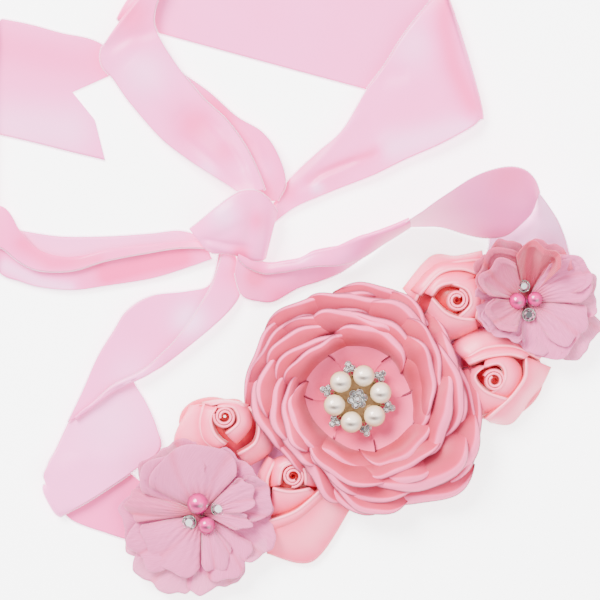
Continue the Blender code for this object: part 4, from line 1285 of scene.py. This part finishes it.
def budGrid(bud, height, turn, hand):
    rows = []
    for step in range(roseCut["budSteps"] + 1):
        t = roseCut["budTurns"] * step / roseCut["budSteps"]
        a = math.radians(turn) + hand * 2 * math.pi * t
        r = roseCut["budRadius"] + roseCut["budPitch"] * t
        top = height - 0.25 * t
        section = [(r - 0.5, roseCut["seat"]), (r - 0.1, top - 2.2)]
        for degrees in (180, 135, 90, 45, 0):
            lip = math.radians(degrees)
            reach = r + roseCut["lipRadius"] * (1 + math.cos(lip)) * 0.6
            section.append((reach, top - 0.6 + 0.6 * math.sin(lip)))
        section.append((r + 0.85, top - 3.0))
        x, y = math.cos(a), math.sin(a)
        rows.append([(bud[0] + reach * x, bud[1] + reach * y, level) for reach, level in section])
    grid = np.swapaxes(smoothRows(np.swapaxes(np.array(rows), 0, 1), 0.6), 0, 1)
    # depth: painted shade lower down the bud, painted highlight on its top
    return grid, {"depth": np.clip((height - 1.4 - grid[..., 2]) / 1.6, -0.9, 1)}


def evenPoints(points, count):
    # the same number of points, evenly spaced, along a soft curve through a few given ones
    curve = smoothRows(np.array(points, float).reshape(-1, 1, 2), 0.4)[:, 0]
    lengths = pathLengths(curve)
    return pick(np.linspace(0, lengths[-1], count), lengths, curve)


def wrapGrid(bud, rimPoints, farPoints, top, farLevel):
    # one fold of ribbon: up the inside, over a narrow round rim, and out as a flat sloping panel
    count = roseCut["wrapColumns"]
    lip = roseCut["lipRadius"]
    rim = evenPoints(rimPoints, count)
    out = evenPoints(farPoints, count) - rim
    gap = np.linalg.norm(out, axis=1, keepdims=True)
    out = out / gap
    s = np.linspace(-1, 1, count)[:, None]
    tuck = ramp(np.abs(s), 0.75) ** 2
    level = top - 0.3 * s ** 2 - 1.3 * tuck
    steps = [(-0.7, -3.4), (-0.35, -1.6), (-0.05, -0.7)]
    for degrees in (180, 144, 108, 72, 36, 0):
        turn = math.radians(degrees)
        steps.append((lip * (1 + math.cos(turn)), lip * math.sin(turn) - lip))
    places = [rim + out * reach for reach, _ in steps]
    levels = [level + rise for _, rise in steps]
    # depth: painted shade down the inside, painted highlight over the rim
    depth = [1.0, 0.9, 0.5, -0.3, -0.9, -1.0, -1.0, -0.8, -0.4]
    for k in range(1, roseCut["panelRows"] + 1):
        share = k / roseCut["panelRows"]
        bulge = math.sin(math.pi * share)
        places.append(rim + out * (2 * lip + (gap - 2 * lip) * share))
        drop = (level - lip - farLevel) * (0.55 * share + 0.45 * share ** 3)
        levels.append(level - lip - drop + 0.25 * bulge * (1 - s ** 2))
        # painted shade towards the hidden far side of a high panel, painted highlight on the bulge of a low
        # one
        depth.append(share ** 1.4 - 0.4 if farLevel > 3 else 0.25 - 0.75 * bulge)
    grid = np.concatenate([np.stack(places, 1) + np.array(bud), np.stack(levels, 1)], 2)
    # painted shade on the ends tucked under
    return grid, {"depth": np.clip(np.array(depth)[None, :] + 0.5 * tuck, -1, 1)}


def rosePocket(bud, height, reach):
    # the deep folds of ribbon under the wraps, closed down to the belt
    a = np.linspace(0, 2 * math.pi, 61)[:, None]
    share = np.linspace(0, 1, 16)[None, :]
    r = 0.5 + (around(reach, a) * 0.96 - 0.5) * share
    z = (height - 4.0) * (1 - share ** 1.6) + roseCut["floor"] * share ** 1.6 - 0.4
    # depth: painted shade deep in the pocket, lessening outwards
    return roundGrid(bud, r, a, np.maximum(z, 1.4)), {"depth": np.clip(1.0 - 0.6 * share ** 2, 0, 1)}


def makeRose(node, look):
    bud, height = look["bud"], look["height"]
    sheets = [budGrid(bud, height, look["turn"], look["hand"]), rosePocket(bud, height, look["reach"])]
    sheets += [wrapGrid(bud, *wrap) for wrap in look["wraps"]]
    name = pieceName(node.replace("rosette", "rose"), "Satin")
    gatheredCloth(name, node, sheets, roseCut["wall"], roseSatin)


for node, look in roses.items():
    makeRose(node, look)
print("rolled roses made")


# Chiffon flowers: puffed double petals over ragged under-layers

chiffonFlowers = {
    # from and to in degrees, reach at both ends and the middle, lift, puff, level and depth of tone
    "left": {
        "place": (-34.7, -75.4),
        "under": (
            (150, 215, 27, 28, 31, 3, 1.2, 0, 0.05), (210, 262, 30, 31, 30, 3.5, 1.2, 0.2, 0.05),
            (258, 318, 30, 27, 25, 4, 1.5, 0, 0.05), (312, 372, 25, 27, 24, 6, 1.5, 0.2, 0.05),
            (10, 80, 24, 24, 25, 7, 1.5, 0, 0.05), (75, 152, 25, 27, 28, 5.5, 1.5, 0.2, 0.2),
        ),
        "middle": (
            (352, 400, 22, 25, 24, 7.5, 1.6, 1.4, 0.05), (275, 330, 25, 24, 22, 5, 1.8, 1.4, 0.05),
            (186, 240, 26, 27, 25, 4, 1.8, 1.5, 0.05), (85, 160, 20, 25, 25, 7, 2, 1.4, 0.05),
        ),
        "top": (
            (48, 152, 21, 24.5, 22, 6.5, 3, 2.6, 0.05), (155, 187, 24, 26, 25, 3.5, 2.6, 2.8, 0.35),
            (190, 268, 23, 23, 22, 3, 2.4, 2.7, 0.05), (270, 312, 20, 20, 17, 3.5, 2.6, 2.9, 0.05),
            (3, 45, 16, 20, 19, 7, 2.2, 2.7, 0.05), (335, 364, 14, 17, 14, 6, 1.6, 3, 0.05),
        ),
    },
    "right": {
        "place": (79.7, -0.4),
        "under": (
            (300, 350, 26, 28, 27, 4, 1.2, 0, 0.05), (345, 400, 26, 25, 24, 6, 1.2, 0.2, 0.05),
            (35, 100, 23, 22, 21, 9.5, 1.2, 0, 0.6), (95, 160, 22, 23, 19, 11, 1.2, 0.2, 0.65),
            (155, 240, 18, 18, 15, 10, 1.5, 0, 0.05), (235, 305, 15, 17, 25, 8, 1.5, 0.2, 0.05),
        ),
        "middle": (
            (10, 60, 23, 24, 20, 8.5, 1.6, 1.4, 0.05), (100, 170, 19, 21, 17, 11, 2, 1.4, 0.7),
            (190, 262, 16, 16, 14, 9.5, 1.8, 1.5, 0.05), (260, 330, 14, 22, 24, 6, 1.6, 1.4, 0.05),
        ),
        "top": (
            (45, 104, 19, 20, 19, 11.5, -2, 2.6, 0.95), (358, 418, 22, 23, 18, 6.5, 2.4, 2.8, 0.05),
            (300, 356, 18, 22, 23, 5, 2.4, 2.7, 0.05), (108, 172, 16, 18, 16, 11.5, 2, 2.7, 0.45),
            (176, 250, 14, 14, 12, 10, 2.4, 2.9, 0.4),
        ),
    },
}
chiffonCut = {"wall": 0.25, "cells": (26, 40), "hole": 0.8, "hem": 0.3, "hemDepth": 2.0, "base": 2.2}


def hemRows(grid, angle):
    # the petal's rim turned under
    size = chiffonCut["hem"]
    outward = np.stack([np.cos(angle[0]), np.sin(angle[0]), 0 * angle[0]], -1)
    hem = []
    for degrees in (60, 20, -20, -60, -90):
        a = math.radians(degrees)
        hem.append(grid[-1] + outward * size * math.cos(a) + (0, 0, size * math.sin(a) - size))
    hem.append(grid[-1] - outward * chiffonCut["hemDepth"] + (0, 0, -2 * size))
    return hem


def chiffonPetal(middle, ring, row, draw):
    start, end, firstReach, midReach, lastReach, lift, puff, level, tone = row
    under = ring == "under"
    t, s = petalPlaces(chiffonCut["cells"])
    half = math.radians(end - start) / 2
    angle = math.radians(start + end) / 2 + half * s
    bend = (firstReach + lastReach) / 2 - midReach
    outline = midReach + (lastReach - firstReach) / 2 * s + bend * s ** 2
    outline = outline * (1 - 0.14 * np.abs(s) ** 5)
    outline = outline + draw.uniform(0.4, 1.0) * np.sin(7 * s + draw.uniform(0, 6))
    if under:
        ragged = sum(np.sin(k * s * half * 9 + draw.uniform(0, 6)) / k for k in (1, 2.3, 4.1))
        outline = outline + 0.7 * ragged
    else:
        outline = outline + 0.5 * np.sin(4 * s + draw.uniform(0, 6))
    r = chiffonCut["hole"] + (outline - chiffonCut["hole"]) * t
    dome = (1 - s ** 2) ** 0.7 * np.sin(math.pi * t ** 0.8) ** 0.8
    z = chiffonCut["base"] + level + lift * t ** 1.7 + puff * dome
    gathers = 0.4 * np.sin((7 + draw.uniform(-1, 1)) * s * math.pi + draw.uniform(0, 6))
    z = z + gathers * (1 - t) ** 1.4 * np.clip(t * 5, 0, 1)
    pleats = np.abs(np.sin(draw.uniform(2.0, 3.2) * s + 0.9 * t + draw.uniform(0, 6)))
    z = z + draw.uniform(1.0, 1.9) * (pleats - 0.6) * t ** 1.2
    crinkle = np.sin(2 * math.pi * s * half * r / 2.1 + 2.0 * np.sin(3 * t + draw.uniform(0, 6)))
    z = z + 0.1 * crinkle * np.clip(t * 2, 0, 1)
    if under:
        z = z + 0.5 * np.sin(6 * s + draw.uniform(0, 6)) * t ** 2
    grid = roundGrid(middle, r, angle, z)
    # depth: each petal's own depth of tone, plus painted shade towards the gathered middle, along the
    # overlapped sides and in the pleat troughs
    depth = tone + 0.75 * np.clip(1 - t * 2.2, 0, 1) + 0.5 * ramp(np.abs(s), 0.86) * (1 - 0.5 * t)
    depth = depth + 0.4 * ramp(-pleats, -0.35, 0) * t
    if not under:
        hem = hemRows(grid, angle)
        grid = np.concatenate([grid, np.array(hem)])
        depth = np.concatenate([depth, np.repeat(depth[-1:], len(hem), 0)])
    return grid, {"depth": np.clip(depth, 0, 1)}


def makeChiffonFlower(label, flower):
    draw = random.Random(label)
    sheets = {
        ring: [chiffonPetal(flower["place"], ring, row, draw) for row in flower[ring]]
        for ring in ("under", "middle", "top")
    }
    for ring, grids in sheets.items():
        node = label + "_chiffon_" + ring
        gatheredCloth(pieceName(node), node, grids, chiffonCut["wall"], sheerChiffon)


for label, flower in chiffonFlowers.items():
    makeChiffonFlower(label, flower)
print("chiffon flowers made")


# Pearls, cut stones and their settings

jewelLook = {
    "pearlSegments": (36, 20),
    "stoneSides": 10,
    # share of the radius, share of the depth and turn of the stone's rings of corners, from the table down
    "stoneRings": ((0.56, 1.0, 0.5), (0.82, 0.8, 0.0), (1.0, 0.62, 0.5), (1.0, 0.55, 0.5), (0.55, 0.2, 0.0)),
    # stone radius and depth, then reach, direction in degrees and rise of each stone
    "outer": (1.05, 1.5, ((1.15, 0, 0.2), (1.2, 120, 0.2), (1.2, 240, 0.2))),
    "cluster": (1.2, 1.9, ((0, 0, 1.2), *((2.28, 60 * k + 12, 0.7) for k in range(6)))),
    # radius and height of each ring, from a pearl's or stone's own radius
    "pearlCup": ((0, 0.9, -0.2), (0.62, 0, -0.1), (0.75, 0, 0.45), (0.66, 0, 0.5), (0, 0.8, 0.15)),
    "cupWall": 0.16,
    "claw": (0.26, 1.9),
    "clawLean": 1.6,
    "wire": 0.2,
    "wireHeight": 0.7,
    "wireRings": (3.2, 8.4),
    "spoke": (3.0, 10.6),
    "spokes": 12,
    "backing": 7.6,
}
settingParts = []
claws = []


def nodeMiddle(node):
    # foot, radius and height of a node
    low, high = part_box(node)
    foot = np.array([(low[0] + high[0]) / 2, (low[1] + high[1]) / 2, low[2]]) / millimetre - tableShift
    return foot, (high[0] - low[0]) / 2 / millimetre, (high[2] - low[2]) / millimetre


def pearlArrays(middle, radius):
    bm = bmesh.new()
    segments, rings = jewelLook["pearlSegments"]
    bmesh.ops.create_uvsphere(bm, u_segments=segments, v_segments=rings, radius=radius)
    points = np.array([vertex.co[:] for vertex in bm.verts]) + middle
    faces = [[vertex.index for vertex in face.verts] for face in bm.faces]
    bm.free()
    return points, faces


def ringPoints(radius, level, sides, turn=0.0):
    angles = [2 * math.pi * (k + turn) / sides for k in range(sides)]
    return [(radius * math.cos(a), radius * math.sin(a), level) for a in angles]


def stoneArrays(foot, radius, depth):
    # round cut stone: flat table, crown facets, thin girdle, pointed pavilion
    rings, sides = jewelLook["stoneRings"], jewelLook["stoneSides"]
    points = []
    for share, level, turn in rings:
        points += ringPoints(radius * share, depth * level, sides, turn)
    points.append((0, 0, 0))
    faces = [list(range(sides))]
    for ring in range(len(rings) - 1):
        shift = rings[ring + 1][2] - rings[ring][2]
        for k in range(sides):
            a, b = ring * sides + k, ring * sides + (k + 1) % sides
            c, d = a + sides, b + sides
            if shift < 0:
                faces += [[a, c, d], [a, d, b]]
            elif shift > 0:
                faces += [[a, (ring + 1) * sides + (k - 1) % sides, c], [a, c, b]]
            else:
                faces.append([a, c, d, b])
    last = (len(rings) - 1) * sides
    faces += [[last + k, len(points) - 1, last + (k + 1) % sides] for k in range(sides)]
    return np.array(points, float) + foot, faces


def turnedArrays(foot, profile, sides=20):
    # rings of faces turned round a vertical axis, profile rows are radius and height
    points, faces = [], []
    for i, (radius, level) in enumerate(profile):
        points += ringPoints(radius, level, sides)
        if i:
            a, b = (i - 1) * sides, i * sides
            faces += [[a + k, a + (k + 1) % sides, b + (k + 1) % sides, b + k] for k in range(sides)]
    faces.append(list(range(sides)))
    faces.append([len(points) - sides + k for k in range(sides)][::-1])
    return np.array(points, float) + foot, faces


def cupArrays(foot, radius, depth):
    # stone's cup: a shallow pot with an open top
    outer = radius + jewelLook["cupWall"]
    return turnedArrays(foot, (
        (radius * 0.55, 0.0), (radius * 0.95, 0.15 * depth), (outer, 0.45 * depth), (outer, 0.62 * depth),
        (radius, 0.62 * depth), (radius * 0.9, 0.5 * depth), (radius * 0.5, 0.12 * depth),
    ))


def plainObject(name, parts, material, smooth):
    points, faces, done = [], [], 0
    for part, corners in parts:
        points.append(part)
        faces += [[index + done for index in face] for face in corners]
        done += len(part)
    mesh = newMesh(name, np.concatenate(points), faces)
    bm = bmesh.new()
    bm.from_mesh(mesh)
    bmesh.ops.recalc_face_normals(bm, faces=bm.faces[:])
    bm.to_mesh(mesh)
    bm.free()
    draw = random.Random(name)
    # painted reflection for cut stones: a random brightness for each face
    addField(mesh, "facet", "FACE", [draw.random() ** 0.8 for _ in mesh.polygons])
    mesh.materials.append(material)
    if smooth:
        mesh.shade_smooth()
        mesh.set_sharp_from_angle(angle=math.radians(smooth))
    return addObject(name, mesh)


def makePearls():
    for node in sorted(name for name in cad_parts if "pearl" in name):
        foot, radius, height = nodeMiddle(node)
        ivory = node.startswith("brooch")
        half = height / 2
        middle = foot + (0, 0, half)
        material = ivoryPearl if ivory else pinkPearl
        piece = plainObject(pieceName(node), [pearlArrays(middle, half)], material, 80)
        # painted reflection: a dark band low on the side towards the viewer's feet, standing in for the
        # darker surroundings a pearl mirrors
        dusk = []
        for vertex in piece.data.vertices:
            x, y, _ = (np.array(vertex.co) / millimetre - tableShift - middle) / half
            dusk.append(max(0, 1 - ((y + 0.2 - 0.25 * x * x) / 0.24) ** 2) * max(0, 1 - (x / 0.72) ** 2))
        addField(piece.data, "dusk", "POINT", dusk)
        settle(piece, node)
        profile = [(radius * share + more, level) for share, more, level in jewelLook["pearlCup"]]
        settingParts.append(turnedArrays(foot, profile))


def stoneSpots(node):
    # foot, radius and depth of each small stone of a node
    foot, radius, height = nodeMiddle(node)
    if not node.startswith("brooch"):
        return [(foot, radius, height)]
    away = foot[:2] - np.array(bigFlowerMiddle)
    cluster = node == "brooch_cluster"
    lead = 0.0 if cluster else math.atan2(away[1], away[0])
    size, depth, places = jewelLook["cluster" if cluster else "outer"]
    spots = []
    for reach, degrees, rise in places:
        a = lead + math.radians(degrees)
        spots.append((foot + (reach * math.cos(a), reach * math.sin(a), rise), size, depth))
    return spots


def makeStones():
    for node in sorted(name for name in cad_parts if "stone" in name or name == "brooch_cluster"):
        parts = []
        for number, (foot, radius, depth) in enumerate(stoneSpots(node)):
            parts.append(stoneArrays(foot + (0, 0, 0.12), radius * 0.92, depth * 0.9))
            settingParts.append(cupArrays(foot, radius * 0.95, depth))
            # claws round the stone: three on a small one, four on a large one
            for x, y, z in ringPoints(1.0, 0.68 * depth, 4 if radius > 1.3 else 3, 0.5 + 0.1 * number):
                place = foot + (1.04 * radius * x, 1.04 * radius * y, z)
                claws.append((place, (-x, -y, jewelLook["clawLean"])))
        settle(plainObject(pieceName(node), parts, cutCrystal, 0), node)


def spokeArrays(foot, angle):
    half = jewelLook["wire"] * 0.8
    out = np.array((math.cos(angle), math.sin(angle), 0.0))
    side = np.array((-math.sin(angle), math.cos(angle), 0.0))
    points = []
    for reach in jewelLook["spoke"]:
        for across, up in ((-half, 0.05), (half, 0.05), (half, 0.6), (-half, 0.6)):
            points.append(foot + out * reach + side * across + (0, 0, up))
    faces = [[0, 1, 2, 3], [7, 6, 5, 4], [0, 4, 5, 1], [1, 5, 6, 2], [2, 6, 7, 3], [3, 7, 4, 0]]
    return np.array(points), faces


def makePlate():
    foot = nodeMiddle("brooch_plate")[0]
    half, height, reach = jewelLook["wire"], jewelLook["wireHeight"], jewelLook["backing"]
    wires = []
    for ring in jewelLook["wireRings"]:
        inner, outer = ring - half, ring + half
        profile = ((inner, 0.0), (outer, 0.0), (outer, height), (inner, height), (inner, 0.0))
        wires.append(turnedArrays(foot, profile, 60))
    for k in range(jewelLook["spokes"]):
        wires.append(spokeArrays(foot, 2 * math.pi * (k + 0.5) / jewelLook["spokes"]))
    disc = ((0.6, -0.25), (reach, -0.25), (reach + 0.15, -0.05), (reach, 0.1), (0.6, 0.1))
    wires.append(turnedArrays(foot, disc, 48))
    settle(plainObject("broochPlate", wires, giltSetting, 40), "brooch_plate")


def clawBead(tree, given):
    values = {"Segments": 8, "Rings": 5, "Radius": given["Claw Radius"]}
    bead = addNode(tree, "GeometryNodeMeshUVSphere", values).outputs[0]
    longer = addNode(tree, "ShaderNodeCombineXYZ", {"X": 1.0, "Y": 1.0, "Z": given["Claw Length"]})
    return addNode(tree, "GeometryNodeTransform", {"Geometry": bead, "Scale": longer.outputs[0]}).outputs[0]


makePearls()
makeStones()
makePlate()
settle(plainObject("stoneCups", settingParts, silverSetting, 40), None)
clawTree = makeScatterTree("settingClaws", ("Claw Radius", "Claw Length"), clawBead)
clawRadius, clawLength = jewelLook["claw"]
scatter("stoneClaws", [claw[0] for claw in claws], [claw[1] for claw in claws], clawTree, {
    "Claw Radius": clawRadius * millimetre, "Claw Length": clawLength, "Material": silverSetting,
})
print("jewels made:", len(claws), "claws")
